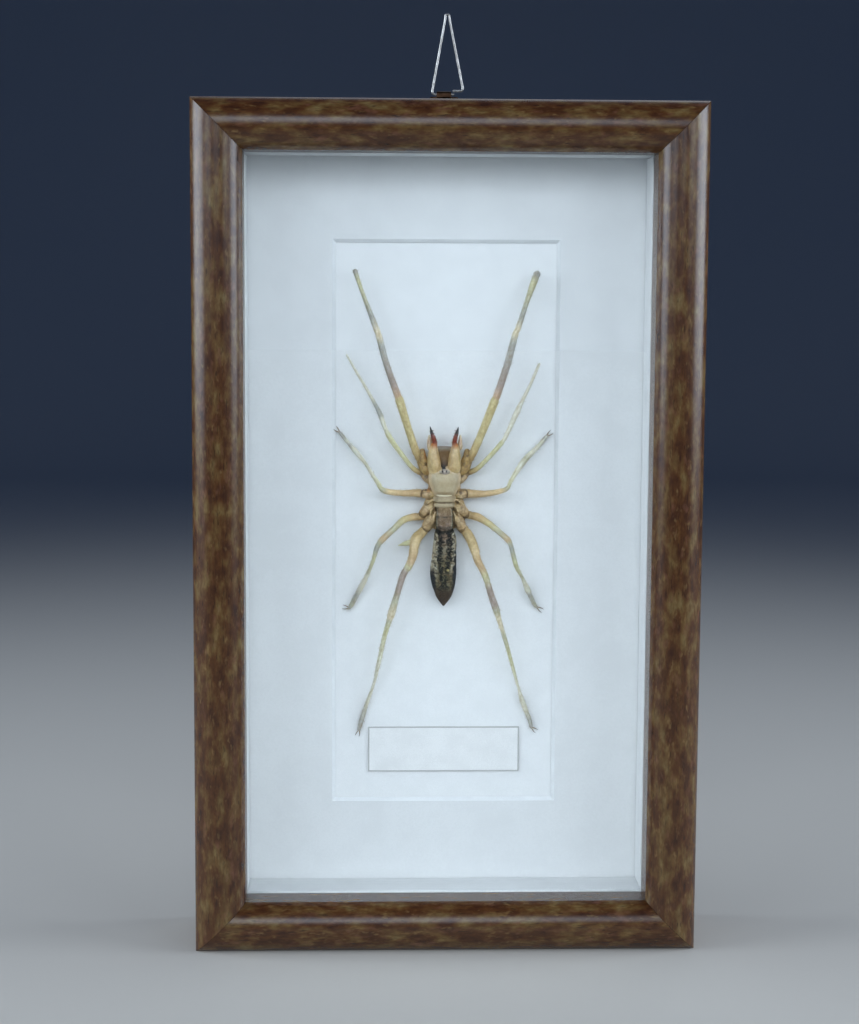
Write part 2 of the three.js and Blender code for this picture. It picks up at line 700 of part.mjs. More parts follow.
// A pair of curved claws at a leg's end, which start inside it
function claws(stations, way) {
  const [x, z, height] = stations[stations.length - 1];
  const heading = Math.atan2(way[1], way[0]);
  return [-1, 1].map((side) => {
    const along = (reach, bend) => [
      x + reach * Math.cos(heading + side * bend),
      z + reach * Math.sin(heading + side * bend),
    ];
    return sweep([
      [...along(-0.3, CLAW_SPREAD), height, CLAW_RADIUS],
      [...along(CLAW_LENGTH * 0.5, CLAW_SPREAD), height + 0.3, CLAW_RADIUS * 0.9],
      [...along(CLAW_LENGTH, CLAW_SPREAD * 0.7), height, CLAW_RADIUS * 0.4],
    ], 5);
  });
}

// The animal's pieces. Each is cut back from the ones it meets, which leaves a hairline at the joint.
function specimen() {
  const prosoma = join(sweep(SHIELD, BODY_SIDES), sweep(LEG_BASES, BODY_SIDES));
  const aroundProsoma = [sweep(SHIELD, BODY_SIDES, GAP), sweep(LEG_BASES, BODY_SIDES, GAP)];
  const aroundAbdomen = sweep(ABDOMEN, BODY_SIDES, GAP);
  const pieces = {
    prosoma: [prosoma, shield],
    abdomen: [cut(sweep(ABDOMEN, BODY_SIDES), ...aroundProsoma), tergite],
  };
  for (const side of ['left', 'right']) {
    const jawBody = join(sweep(CHELICERA[side], 12), sweep(LOWER_FINGER[side], 8));
    pieces[`chelicera_${side}`] = [cut(jawBody, ...aroundProsoma), jaw];
    const neighbours = [...aroundProsoma, aroundAbdomen, sweep(CHELICERA[side], 12, GAP)];
    const fitted = (stations) => {
      const limb = cut(sweep(stations, LIMB_SIDES), ...neighbours);
      neighbours.push(sweep(stations, LIMB_SIDES, GAP));
      return limb;
    };
    pieces[`pedipalp_${side}`] = [fitted(PEDIPALP[side]), cuticle];
    LEGS.forEach((leg, i) => {
      const geometry = fitted(leg[side]);
      const way = CLAW_WAYS[i][side];
      const extras = way ? claws(leg[side], way) : [];
      if (leg === LEG_4 && side === 'left') extras.push(sweep(LEFT_FLAP, 6));
      pieces[`leg_${i + 1}_${side}`] = [join(geometry, ...extras), leg === LEG_4 ? cuticle : paleCuticle];
    });
  }
  return pieces;
}

// The whole object
const frame = new THREE.Group();

function add(name, geometry, material, parent = frame) {
  const mesh = new THREE.Mesh(geometry, material);
  mesh.name = name;
  parent.add(mesh);
  return mesh;
}

for (const { name, geometry, turn, at: [x, z] } of frameBars()) {
  const bar = add(name, geometry, wood);
  bar.position.set(x, FRONT_Y, z);
  bar.rotation.y = turn;
}

add('glass_pane', sheet(SHEET_WIDTH, SHEET_HEIGHT, GLASS_Y, GLASS_THICKNESS), clearGlass);
for (const [name, geometry] of Object.entries(spacers())) add(name, geometry, foamBoard);
add('window_mat', windowMat(), matBoard);
add('mount_card', sheet(SHEET_WIDTH, SHEET_HEIGHT, CARD_Y, CARD_THICKNESS), mountCard);
const labelY = CARD_Y - GAP - LABEL_THICKNESS;
add('name_label', sheet(LABEL_WIDTH, LABEL_HEIGHT, labelY, LABEL_THICKNESS, LABEL_Z), labelPaper);
add('back_board', sheet(SHEET_WIDTH, SHEET_HEIGHT, BACK_Y, BACK_THICKNESS), hardboard);
for (const [name, geometry] of Object.entries(framersPoints())) add(name, geometry, zincSteel);
add('hanger_plate', hangerPlate(), bronzedSteel);
add('hanger_screw_left', hangerScrew(screwPlaces[0]), bronzedSteel);
add('hanger_screw_right', hangerScrew(screwPlaces[1]), bronzedSteel);
add('hanger_ring', hangerRing(), brightWire);

const spider = new THREE.Group();
spider.position.set(SPIDER_X, CARD_Y, SPIDER_Z);
frame.add(spider);
for (const [name, [geometry, material]] of Object.entries(specimen())) add(name, geometry, material, spider);

export default frame;
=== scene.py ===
# %% [markdown]
# # A framed camel spider, built in Blender
# The object is a dried camel spider on a white card, in a deep wooden frame with glass in front.
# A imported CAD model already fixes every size. This lesson dresses that model: each cell makes one
# piece or one finish, lays it where the CAD piece is, and lets it stand for that piece.

# %% Load the fixed frame
import math

import bmesh
import bpy
import numpy as np
from mathutils import Matrix, Vector, noise


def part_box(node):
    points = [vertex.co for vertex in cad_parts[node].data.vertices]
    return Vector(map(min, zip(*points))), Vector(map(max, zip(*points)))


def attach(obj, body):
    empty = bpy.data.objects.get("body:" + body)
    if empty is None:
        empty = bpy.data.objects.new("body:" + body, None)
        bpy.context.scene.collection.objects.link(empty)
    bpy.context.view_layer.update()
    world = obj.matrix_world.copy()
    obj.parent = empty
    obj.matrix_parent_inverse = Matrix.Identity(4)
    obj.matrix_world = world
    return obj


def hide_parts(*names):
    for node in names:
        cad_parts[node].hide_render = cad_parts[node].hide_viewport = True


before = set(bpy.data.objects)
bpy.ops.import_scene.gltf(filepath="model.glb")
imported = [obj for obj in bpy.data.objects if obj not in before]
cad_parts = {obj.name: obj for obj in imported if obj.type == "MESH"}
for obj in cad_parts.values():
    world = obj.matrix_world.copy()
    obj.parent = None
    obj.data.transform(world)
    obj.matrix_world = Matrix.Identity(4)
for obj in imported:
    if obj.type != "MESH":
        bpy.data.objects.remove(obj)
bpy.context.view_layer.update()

MM = 0.001  # all sizes below are in millimetres, Blender's are in metres

# %% [markdown]
# ## Colours and nodes
# Colours are picked as the hex values that a screen shows. Blender's sockets want linear light, so one
# function turns them over. Another adds a node, sets it up and wires it, which keeps each material
# as short as the list of what it is made of.


# %% Colour and node helpers
def paint(hex_colour):
    channels = [int(hex_colour[i:i + 2], 16) / 255 for i in (0, 2, 4)]
    linear = [c / 12.92 if c <= 0.04045 else ((c + 0.055) / 1.055) ** 2.4 for c in channels]
    return (*linear, 1.0)


def add_node(tree, kind, inputs=None, stops=None, **settings):
    node = tree.nodes.new(kind)
    for name, value in settings.items():
        setattr(node, name, value)
    for key, value in (inputs or {}).items():
        if isinstance(value, bpy.types.NodeSocket):
            tree.links.new(value, node.inputs[key])
        else:
            node.inputs[key].default_value = value
    if stops:
        marks_and_glints = node.color_ramp.elements
        while len(marks_and_glints) < len(stops):
            marks_and_glints.new(0.5)
        for mark, (place, colour) in zip(marks_and_glints, stops):
            mark.position = place
            mark.color = paint(colour)
    return node


def new_material(name, shader):
    material = bpy.data.materials.new(name)
    material.use_nodes = True
    tree = material.node_tree
    surface = tree.nodes["Principled BSDF"]
    for key, value in shader.items():
        surface.inputs[key].default_value = value
    return material, tree, surface


print("mid grey is", round(paint("808080")[0], 3), "in linear light")

# %% [markdown]
# ## Meshes
# Most pieces are plain lists of points and faces. A helper scales them from millimetres, smooths the
# faces that meet gently and keeps the sharp edges sharp. A second one says which body a finished
# piece rides on, which CAD pieces it stands for and which finish it has.


# %% Mesh helpers
def make_object(name, points, faces, edges=(), sharp=35):
    mesh = bpy.data.meshes.new(name)
    mesh.from_pydata([Vector(p) * MM for p in points], list(edges), faces)
    mesh.update()
    if faces:
        mesh.shade_smooth()
        mesh.set_sharp_from_angle(angle=math.radians(sharp))
    obj = bpy.data.objects.new(name, mesh)
    bpy.context.collection.objects.link(obj)
    return obj


def face_outwards(obj):
    shape = bmesh.new()
    shape.from_mesh(obj.data)
    bmesh.ops.recalc_face_normals(shape, faces=shape.faces)
    shape.to_mesh(obj.data)
    shape.free()


def finish_piece(obj, nodes, material=None, body="frame"):
    if material is not None:
        obj.data.materials.clear()
        obj.data.materials.append(material)
    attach(obj, body)
    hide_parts(*nodes)
    print(obj.name, "has", len(obj.data.polygons), "faces and stands for", ", ".join(nodes))
    return obj


def node_box(node):
    low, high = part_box(node)
    return [c / MM for c in low], [c / MM for c in high]


# %% [markdown]
# ## Geometry Nodes
# What repeats or follows a path is made by a node tree: the tree holds the rule, and its named inputs
# hold the sizes. The result is turned to a plain mesh at once, so nothing live is left on the piece.


# %% Geometry Nodes helpers
def new_tree(name, inputs):
    tree = bpy.data.node_groups.new(name, "GeometryNodeTree")
    tree.interface.new_socket("Geometry", in_out="OUTPUT", socket_type="NodeSocketGeometry")
    tree.interface.new_socket("Geometry", in_out="INPUT", socket_type="NodeSocketGeometry")
    for label, kind in inputs.items():
        tree.interface.new_socket(label, in_out="INPUT", socket_type="NodeSocket" + kind)
    start = tree.nodes.new("NodeGroupInput")
    return tree, {socket.name: socket for socket in start.outputs if socket.name}


def end_tree(tree, geometry, material):
    real = add_node(tree, "GeometryNodeRealizeInstances", {"Geometry": geometry})
    painted = add_node(tree, "GeometryNodeSetMaterial",
                       {"Geometry": real.outputs["Geometry"], "Material": material})
    add_node(tree, "NodeGroupOutput", {"Geometry": painted.outputs["Geometry"]})


def run_tree(obj, tree, values):
    modifier = obj.modifiers.new(tree.name, "NODES")
    modifier.node_group = tree
    sockets = {item.name: item.identifier for item in tree.interface.items_tree if item.in_out == "INPUT"}
    for label, value in values.items():
        modifier[sockets[label]] = value
    depsgraph = bpy.context.evaluated_depsgraph_get()
    mesh = bpy.data.meshes.new_from_object(
        obj.evaluated_get(depsgraph), preserve_all_data_layers=True, depsgraph=depsgraph)
    obj.modifiers.remove(modifier)
    source = obj.data
    obj.data = mesh
    bpy.data.meshes.remove(source)
    return obj


# %% [markdown]
# ## Camera
# The photo was taken from straight ahead, a little left of the middle and a little above it. The
# camera's place comes from the frame's corners in the photo, which fix the perspective.

# %% Camera
CAMERA_PLACE = (-0.0261, -0.5958, 0.1971)
CAMERA_PITCH, CAMERA_YAW, CAMERA_ROLL = (math.radians(a) for a in (-6.342, 2.016, 0.324))

camera = bpy.data.objects.new("camera", bpy.data.cameras.new("camera"))
bpy.context.collection.objects.link(camera)
bpy.context.scene.camera = camera
camera.data.lens = 70
camera.data.sensor_width = 36
camera.data.clip_start = 0.01
ahead = Vector((math.sin(CAMERA_YAW) * math.cos(CAMERA_PITCH),
                math.cos(CAMERA_YAW) * math.cos(CAMERA_PITCH), math.sin(CAMERA_PITCH)))
right = ahead.cross(Vector((0, 0, 1))).normalized()
over = right.cross(ahead)
image_right = right * math.cos(CAMERA_ROLL) + over * math.sin(CAMERA_ROLL)
image_up = over * math.cos(CAMERA_ROLL) - right * math.sin(CAMERA_ROLL)
camera.matrix_world = Matrix.Translation(CAMERA_PLACE) @ Matrix(
    (image_right, image_up, -ahead)).transposed().to_4x4()
print("camera looks along", [round(c, 3) for c in ahead])

# %% [markdown]
# ## Floor and light
# A plain pale sweep carries the frame. Three softboxes stand left, right and above the viewer: they
# light the card evenly through the glass and give every limb two faint shadows. The glass mirrors
# the room too, so none of them stands where it would. Two more stand at the frame's sides and lie
# as soft bands on its rounded wood. A weak one behind shows the back and the hanger.

# %% Floor and backdrop
FLOOR_HALF, FLOOR_FRONT, WALL_AT, SWEEP_RADIUS, WALL_TOP = 4000, -6000, 2400, 900, 2800
SWEEP_STEPS = 25
sweep_line = [(FLOOR_FRONT, 0)] + [
    (WALL_AT - SWEEP_RADIUS + SWEEP_RADIUS * math.sin(a), SWEEP_RADIUS - SWEEP_RADIUS * math.cos(a))
    for a in np.linspace(0, math.pi / 2, SWEEP_STEPS)] + [(WALL_AT, WALL_TOP)]
floor = make_object(
    "studio_sweep",
    [(x, y, z) for x in (-FLOOR_HALF, FLOOR_HALF) for y, z in sweep_line],
    [(i, i + len(sweep_line), i + len(sweep_line) + 1, i + 1) for i in range(len(sweep_line) - 1)], sharp=180)
backdrop_paper, tree, surface = new_material("backdrop_paper", {
    "Base Color": paint("c9c4bb"), "Roughness": 0.9, "Specular IOR Level": 0.2})
floor.data.materials.append(backdrop_paper)

# %% Softboxes
FRAME_MIDDLE = Vector((0, 0, 0.126))
SOFT_DAYLIGHT = (0.78, 0.882, 1.0)  # a little cool, as the photo is


def softbox(name, azimuth, elevation, width, height, radiance, spread, distance=1.0):
    """A softbox with a grid in front, which keeps its light inside the spread and off the floor."""
    data = bpy.data.lights.new(name, "AREA")
    data.shape = "RECTANGLE"
    data.spread = math.radians(spread)
    data.size, data.size_y = width * distance, height * distance
    half = data.spread / 2
    grid_gain = math.tan(half) / (math.tan(half) - half)  # a narrower spread makes the same watts brighter
    data.energy = radiance * math.pi * data.size * data.size_y / grid_gain
    data.color = SOFT_DAYLIGHT
    lamp = bpy.data.objects.new(name, data)
    bpy.context.collection.objects.link(lamp)
    a, e = math.radians(azimuth), math.radians(elevation)
    way = Vector((math.sin(a) * math.cos(e), -math.cos(a) * math.cos(e), math.sin(e)))
    lamp.location = FRAME_MIDDLE + way * distance
    lamp.rotation_mode = "QUATERNION"
    lamp.rotation_quaternion = way.to_track_quat("Z", "Y")
    print(f"{name}: {data.energy:.1f} W")


softbox("softbox_front", azimuth=-2, elevation=21.5, width=0.5, height=0.34, radiance=5.6, spread=60)
for side, way in (("left", -1), ("right", 1)):
    softbox(f"softbox_{side}", azimuth=36.5 * way, elevation=17, width=0.44, height=0.28, radiance=4.9,
            spread=80)
    softbox(f"rim_softbox_{side}", azimuth=81 * way, elevation=15, width=0.89, height=0.56, radiance=8.4,
            spread=90)
softbox("back_softbox", azimuth=165, elevation=48, width=0.6, height=0.45, radiance=1.5, spread=80,
        distance=1.3)

DIM_SKY, SKY_STRENGTH = "6d9cf0", 0.1
world = bpy.data.worlds.new("dim_studio")
bpy.context.scene.world = world
world.use_nodes = True
world.node_tree.nodes["Background"].inputs["Color"].default_value = paint(DIM_SKY)
world.node_tree.nodes["Background"].inputs["Strength"].default_value = SKY_STRENGTH
bpy.context.scene.view_settings.view_transform = "Standard"

# %% [markdown]
# ## Lacquered wood
# The mouldings are a brown hardwood, planed to a rounded section, stained and sprayed with clear
# lacquer. Up close one sees short dark pores and golden flecks, all along the grain, under a smooth
# coat that carries the softboxes. The pattern is read from an attribute that holds each point's
# place along and across its own bar, so the grain turns the corner with the wood.

# %% Lacquered wood material
lacquered_wood, tree, surface = new_material("lacquered_wood", {
    "Roughness": 0.6, "IOR": 1.5, "Specular IOR Level": 0.0,
    "Coat Weight": 1.0, "Coat Roughness": 0.26, "Coat IOR": 1.5})
grain = add_node(tree, "ShaderNodeAttribute", attribute_name="grain")
# Real pores are 0.1 mm wide and 2 to 5 mm long: drawn 0.45 mm wide so that they show
stretched = {}
for label, along, across, detail in (("cloud", 7, 3, 3.0), ("fibre", 6, 0.9, 3.0), ("fleck", 3.4, 1.3, 2.0),
                                     ("blush", 5.0, 2.2, 2.0), ("pore", 3.2, 0.45, 1.0)):
    laid = add_node(tree, "ShaderNodeMapping", {"Vector": grain.outputs["Vector"],
                                                "Scale": (1000 / along, 1000 / across, 1000 / across)})
    stretched[label] = add_node(tree, "ShaderNodeTexNoise", {
        "Vector": laid.outputs[0], "Scale": 1.0, "Detail": detail, "Roughness": 0.6}).outputs["Fac"]
heartwood = add_node(tree, "ShaderNodeValToRGB", {"Fac": stretched["cloud"]},
                     stops=[(0.28, "371c0a"), (0.46, "4f2e13"), (0.6, "624724"), (0.76, "77633c")])
fibres = add_node(tree, "ShaderNodeMapRange", {"Value": stretched["fibre"], "From Min": 0.3, "From Max": 0.7,
                                               "To Min": 0.78, "To Max": 1.15})
toned = add_node(tree, "ShaderNodeVectorMath", {0: heartwood.outputs["Color"], "Scale": fibres.outputs[0]},
                 operation="SCALE")
layers = {}
before = toned.outputs["Vector"]
for label, start, full, colour in (("fleck", 0.6, 0.78, "84693f"), ("blush", 0.58, 0.76, "704a36"),
                                   ("pore", 0.62, 0.74, "1f1108")):
    layers[label] = add_node(tree, "ShaderNodeMapRange", {
        "Value": stretched[label], "From Min": start, "From Max": full, "To Max": 0.6})
    before = add_node(tree, "ShaderNodeMix", {0: layers[label].outputs[0], 6: before, 7: paint(colour)},
                      data_type="RGBA").outputs[2]
tree.links.new(before, surface.inputs["Base Color"])
relief = add_node(tree, "ShaderNodeMath", {0: stretched["fibre"], 1: layers["pore"].outputs[0]},
                  operation="SUBTRACT")
grain_bump = add_node(tree, "ShaderNodeBump", {"Height": relief.outputs[0], "Strength": 0.25,
                                               "Distance": 0.06 * MM})
coat_bump = add_node(tree, "ShaderNodeBump", {"Height": relief.outputs[0], "Strength": 0.12,
                                              "Distance": 0.03 * MM})
tree.links.new(grain_bump.outputs["Normal"], surface.inputs["Normal"])
tree.links.new(coat_bump.outputs["Normal"], surface.inputs["Coat Normal"])
print("wood pores are drawn 0.45 mm wide")

# %% [markdown]
# ## The four mouldings
# Each bar is one section pushed along a line and cut at 45 degrees at both ends. That is a rule, so
# a node tree makes it: the section goes along a line, and then each point's distance from the
# outer edge says how far the mitre pulls it back. One tree with other lengths gives all four.

# %% Moulding section
FRAME_WIDTH, FRAME_HEIGHT, FACE_WIDTH = 150, 252, 15
FRONT_Y, BACK_Y, DOME_RISE, LIP_DEPTH, REBATE = -20.1, 17.9, 5, 9, 5
EDGE_Y = FRONT_Y + DOME_RISE
DOME_RADIUS = (FACE_WIDTH ** 2 / 4 + DOME_RISE ** 2) / (2 * DOME_RISE)
half_turn = math.asin(FACE_WIDTH / 2 / DOME_RADIUS)
BACK_EDGE, SHOULDER, LIP_EDGE, DOME_POINTS = 0.4, 0.5, 0.3, 29
# (distance from the outer edge, depth), from the back of the outer side round to the rebate
section = [(0, BACK_Y - BACK_EDGE), (0, EDGE_Y + SHOULDER)]
section += [(FACE_WIDTH / 2 + DOME_RADIUS * math.sin(a), FRONT_Y + DOME_RADIUS * (1 - math.cos(a)))
            for a in np.linspace(-half_turn * 0.99, half_turn * 0.99, DOME_POINTS)]
section += [(FACE_WIDTH, EDGE_Y + SHOULDER), (FACE_WIDTH, EDGE_Y + LIP_DEPTH - LIP_EDGE),
            (FACE_WIDTH - LIP_EDGE, EDGE_Y + LIP_DEPTH), (FACE_WIDTH - REBATE, EDGE_Y + LIP_DEPTH),
            (FACE_WIDTH - REBATE, BACK_Y), (BACK_EDGE, BACK_Y)]
print(len(section), "points round the moulding's section")

# %% Mitred bar tree
bar_tree, given = new_tree("mitred_bar", {
    "Length": "Float", "Mitre Gap": "Float", "Rings": "Int", "Grain Offset": "Vector",
    "Material": "Material"})
outline = add_node(bar_tree, "GeometryNodeMeshToCurve", {"Mesh": given["Geometry"]})
line = add_node(bar_tree, "GeometryNodeCurvePrimitiveLine", {"Start": (-1, 0, 0), "End": (1, 0, 0)})
rings = add_node(bar_tree, "GeometryNodeResampleCurve", {"Curve": line.outputs["Curve"],
                                                         "Count": given["Rings"]})
bar = add_node(bar_tree, "GeometryNodeCurveToMesh", {
    "Curve": rings.outputs["Curve"], "Profile Curve": outline.outputs["Curve"], "Fill Caps": True})
here = add_node(bar_tree, "GeometryNodeInputPosition")
parts = add_node(bar_tree, "ShaderNodeSeparateXYZ", {"Vector": here.outputs["Position"]})
half = add_node(bar_tree, "ShaderNodeMath", {0: given["Length"], 1: 0.5}, operation="MULTIPLY")
pulled = add_node(bar_tree, "ShaderNodeMath", {0: half.outputs[0], 1: parts.outputs["Z"]},
                  operation="SUBTRACT")
reach = add_node(bar_tree, "ShaderNodeMath", {0: pulled.outputs[0], 1: given["Mitre Gap"]},
                 operation="SUBTRACT")
along = add_node(bar_tree, "ShaderNodeMath", {0: parts.outputs["X"], 1: reach.outputs[0]},
                 operation="MULTIPLY")
place = add_node(bar_tree, "ShaderNodeCombineXYZ", {
    "X": along.outputs[0], "Y": parts.outputs["Y"], "Z": parts.outputs["Z"]})
# The grain is stored before the points move, because a field is worked out from where the points are then
moved = add_node(bar_tree, "ShaderNodeVectorMath", {0: place.outputs["Vector"], 1: given["Grain Offset"]})
kept = add_node(bar_tree, "GeometryNodeStoreNamedAttribute", {
    "Geometry": bar.outputs["Mesh"], "Name": "grain", "Value": moved.outputs["Vector"]},
    data_type="FLOAT_VECTOR", domain="POINT")
mitred = add_node(bar_tree, "GeometryNodeSetPosition", {"Geometry": kept.outputs["Geometry"],
                                                        "Position": place.outputs["Vector"]})
end_tree(bar_tree, mitred.outputs["Geometry"], given["Material"])

# %% Make the four bars
MITRE_GAP, BAR_RINGS = 0.06, 64
BARS = {  # length, where the bar's middle starts and which way it runs and faces inwards
    "bottom": (FRAME_WIDTH, (0, 0, 0), (1, 0, 0), (0, 0, 1)),
    "top": (FRAME_WIDTH, (0, 0, FRAME_HEIGHT), (-1, 0, 0), (0, 0, -1)),
    "left": (FRAME_HEIGHT, (-FRAME_WIDTH / 2, 0, FRAME_HEIGHT / 2), (0, 0, -1), (1, 0, 0)),
    "right": (FRAME_HEIGHT, (FRAME_WIDTH / 2, 0, FRAME_HEIGHT / 2), (0, 0, 1), (-1, 0, 0)),
}
for number, (side, (length, middle, runs, inwards)) in enumerate(BARS.items()):
    # Curve to Mesh turns the section's own X and Y to the line's -Y and -Z, so both go in turned round
    bar_object = make_object(f"moulding_{side}", [(-depth, -across, 0) for across, depth in section], [],
                             edges=[(i, (i + 1) % len(section)) for i in range(len(section))])
    run_tree(bar_object, bar_tree, {
        "Length": length * MM, "Mitre Gap": MITRE_GAP * MM, "Rings": BAR_RINGS,
        "Grain Offset": (0.37 * number, 0.11 * number, 0.05 * number), "Material": lacquered_wood})
    corners = np.array([v.co for v in bar_object.data.vertices]) / MM
    print(side, "bar box", corners.min(0).round(1), corners.max(0).round(1))
    bar_object.data.transform(Matrix.Translation(Vector(middle) * MM) @ Matrix(
        (runs, (0, 1, 0), inwards)).transposed().to_4x4())
    face_outwards(bar_object)
    bar_object.data.shade_smooth()
    bar_object.data.set_sharp_from_angle(angle=math.radians(18))
    finish_piece(bar_object, [f"frame_{side}"])

# %% [markdown]
# ## Picture glass
# Picture glass is 2 mm float glass with its cut edges just taken off. Light that reaches the animal
# has to come through it, and a renderer's glass would block the lamps' direct light. So the shader
# lets shadow rays straight through, and is plain glass for every other ray.

# %% Glass pane
BOX_FACES = [(0, 1, 3, 2), (4, 6, 7, 5), (0, 4, 5, 1), (2, 3, 7, 6), (0, 2, 6, 4), (1, 5, 7, 3)]


def board(name, node, edge, steps=2, grow=(0, 0)):
    """A flat sheet where the CAD node is, with its edges rounded. It may grow in depth, front and back."""
    (x0, y0, z0), (x1, y1, z1) = node_box(node)
    y0, y1 = y0 - grow[0], y1 + grow[1]
    points = [(x, y, z) for x in (x0, x1) for y in (y0, y1) for z in (z0, z1)]
    obj = make_object(name, points, BOX_FACES)
    bevel = obj.modifiers.new("softened_edges", "BEVEL")
    bevel.width, bevel.segments = edge * MM, steps
    return obj


float_glass, tree, surface = new_material("float_glass", {
    "Base Color": paint("fdfffe"), "Roughness": 0.0, "IOR": 1.52, "Transmission Weight": 1.0})
light_path = add_node(tree, "ShaderNodeLightPath")
clear = add_node(tree, "ShaderNodeBsdfTransparent")
either = add_node(tree, "ShaderNodeMixShader", {0: light_path.outputs["Is Shadow Ray"],
                                                1: surface.outputs[0], 2: clear.outputs[0]})
tree.links.new(either.outputs[0], tree.nodes["Material Output"].inputs["Surface"])
finish_piece(board("picture_glass", "glass_pane", 0.25), ["glass_pane"], float_glass)

# %% [markdown]
# ## White boards
# Behind the glass everything is card: foam board strips round the sides, the window mat and the card
# that carries the animal. Such papers are matt and almost white, with a faint felt mark from the
# paper machine. The strips' cut edges show their foam, and their paper is drawn greyer than the mat:
# painted shade, for the shadow along the inside of the box. One recipe with other sizes does for all.


# %% Paper and foam materials
def paper_material(name, colour, shade, felt, tooth):
    """A matt paper: colour, the shade of its thin places, the felt mark's size and its relief, in mm."""
    material, tree, surface = new_material(name, {"Roughness": 0.85, "IOR": 1.47, "Specular IOR Level": 0.25})
    spot = add_node(tree, "ShaderNodeTexCoord")
    cloudy = add_node(tree, "ShaderNodeTexNoise", {"Vector": spot.outputs["Object"],
                                                   "Scale": 1000 / (felt * 12), "Detail": 2.0})
    felted = add_node(tree, "ShaderNodeTexNoise", {"Vector": spot.outputs["Object"],
                                                   "Scale": 1000 / felt, "Detail": 3.0})
    both = add_node(tree, "ShaderNodeMath", {0: cloudy.outputs["Fac"], 1: felted.outputs["Fac"]},
                    operation="MULTIPLY")
    tint = add_node(tree, "ShaderNodeValToRGB", {"Fac": both.outputs[0]},
                    stops=[(0.15, shade), (0.35, colour)])
    tree.links.new(tint.outputs["Color"], surface.inputs["Base Color"])
    bump = add_node(tree, "ShaderNodeBump", {"Height": felted.outputs["Fac"], "Strength": 0.3,
                                             "Distance": tooth * MM})
    tree.links.new(bump.outputs["Normal"], surface.inputs["Normal"])
    return material


mat_board = paper_material("white_mat_board", "e0e0df", "dcdcdb", 0.6, 0.03)
mount_card = paper_material("white_mount_card", "e9e9e8", "e5e5e4", 0.5, 0.02)
# The strips' paper is drawn grey, darker than the mat: painted shade along the inside of the box.
shaded_foam_paper = paper_material("foam_board_paper_with_painted_shade", "d3d4d4", "cfd0d0", 0.5, 0.015)
foam_core = paper_material("polystyrene_foam", "e8e9e8", "d6d8d8", 0.7, 0.15)
bevel_core = paper_material("mat_core_paper", "e6e7e7", "dfe0e0", 0.3, 0.03)

# %% Foam board strips
STRIPS = [f"spacer_{side}" for side in ("bottom", "top", "left", "right")]
for node in STRIPS:
    strip = board(node.replace("spacer", "foam_strip"), node, 0.15)
    finish_piece(strip, [node], shaded_foam_paper)
    strip.data.materials.append(foam_core)
    for face in strip.data.polygons:
        if abs(face.normal.y) > 0.9:
            face.material_index = 1

# %% Window mat
(x0, mat_front, z0), (x1, mat_back, z1) = node_box("window_mat")
WINDOW_WIDTH, WINDOW_HEIGHT, BEVEL = 69, 173, 1
window_z = FRAME_HEIGHT / 2


def square_loop(width, height, y):
    corners = ((-1, -1), (1, -1), (1, 1), (-1, 1))
    return [(sx * width / 2, y, window_z + sz * height / 2) for sx, sz in corners]


mat_points = (square_loop(x1 - x0, z1 - z0, mat_front) + square_loop(x1 - x0, z1 - z0, mat_back)
              + square_loop(WINDOW_WIDTH - 2 * BEVEL, WINDOW_HEIGHT - 2 * BEVEL, mat_back)
              + square_loop(WINDOW_WIDTH, WINDOW_HEIGHT, mat_front))
mat_faces = [(4 * a + i, 4 * a + (i + 1) % 4, 4 * ((a + 1) % 4) + (i + 1) % 4, 4 * ((a + 1) % 4) + i)
             for a in range(4) for i in range(4)]
mat = make_object("window_mat_board", mat_points, mat_faces, sharp=20)
finish_piece(mat, ["window_mat"], mat_board)
mat.data.materials.append(bevel_core)
for face in mat.data.polygons[8:12]:
    face.material_index = 1
face_outwards(mat)

# %% Mount card
finish_piece(board("mount_card_sheet", "mount_card", 0.1), ["mount_card"], mount_card)

# %% [markdown]
# ## Name label
# A small card of smooth paper with a thin printed line round it. The line lies flat in the paper's
# surface, so it is made in the material and not in the mesh: it is drawn from each point's distance
# to the label's edges, which keeps it the same width on all four sides.

# %% Label
label_low, label_high = node_box("name_label")
label_paper = paper_material("label_card", "e9e8e6", "e2e1df", 0.4, 0.01)
tree = label_paper.node_tree
surface = tree.nodes["Principled BSDF"]
paper_colour = surface.inputs["Base Color"].links[0].from_socket
spot = add_node(tree, "ShaderNodeTexCoord")
centred = add_node(tree, "ShaderNodeMapping", {
    "Vector": spot.outputs["Object"],
    "Location": [-(a + b) / 2 * MM for a, b in zip(label_low, label_high)]})
folded = add_node(tree, "ShaderNodeVectorMath", {0: centred.outputs[0]}, operation="ABSOLUTE")
sides = add_node(tree, "ShaderNodeSeparateXYZ", {"Vector": folded.outputs["Vector"]})
LINE_INSET, LINE_WIDTH = 0.12, 0.2
near = []
for axis, size in (("X", label_high[0] - label_low[0]), ("Z", label_high[2] - label_low[2])):
    edge = size / 2 - LINE_INSET - LINE_WIDTH
    near.append(add_node(tree, "ShaderNodeMath", {0: sides.outputs[axis], 1: edge * MM},
                         operation="GREATER_THAN"))
border = add_node(tree, "ShaderNodeMath", {0: near[0].outputs[0], 1: near[1].outputs[0]}, operation="MAXIMUM")
border_ink = add_node(tree, "ShaderNodeMix", {0: border.outputs[0], 6: paper_colour, 7: paint("b3b2ae")},
                      data_type="RGBA")
tree.links.new(border_ink.outputs[2], surface.inputs["Base Color"])
label = board("label_card", "name_label", 0.05, grow=(0, 0.25))
finish_piece(label, ["name_label"], label_paper)

# %% [markdown]
# ## Back of the frame
# A hardboard sheet closes the back: pressed wood fibre, smooth in front and with the print of the
# press's wire screen behind. Flat steel points pushed into the rebate hold the stack in.

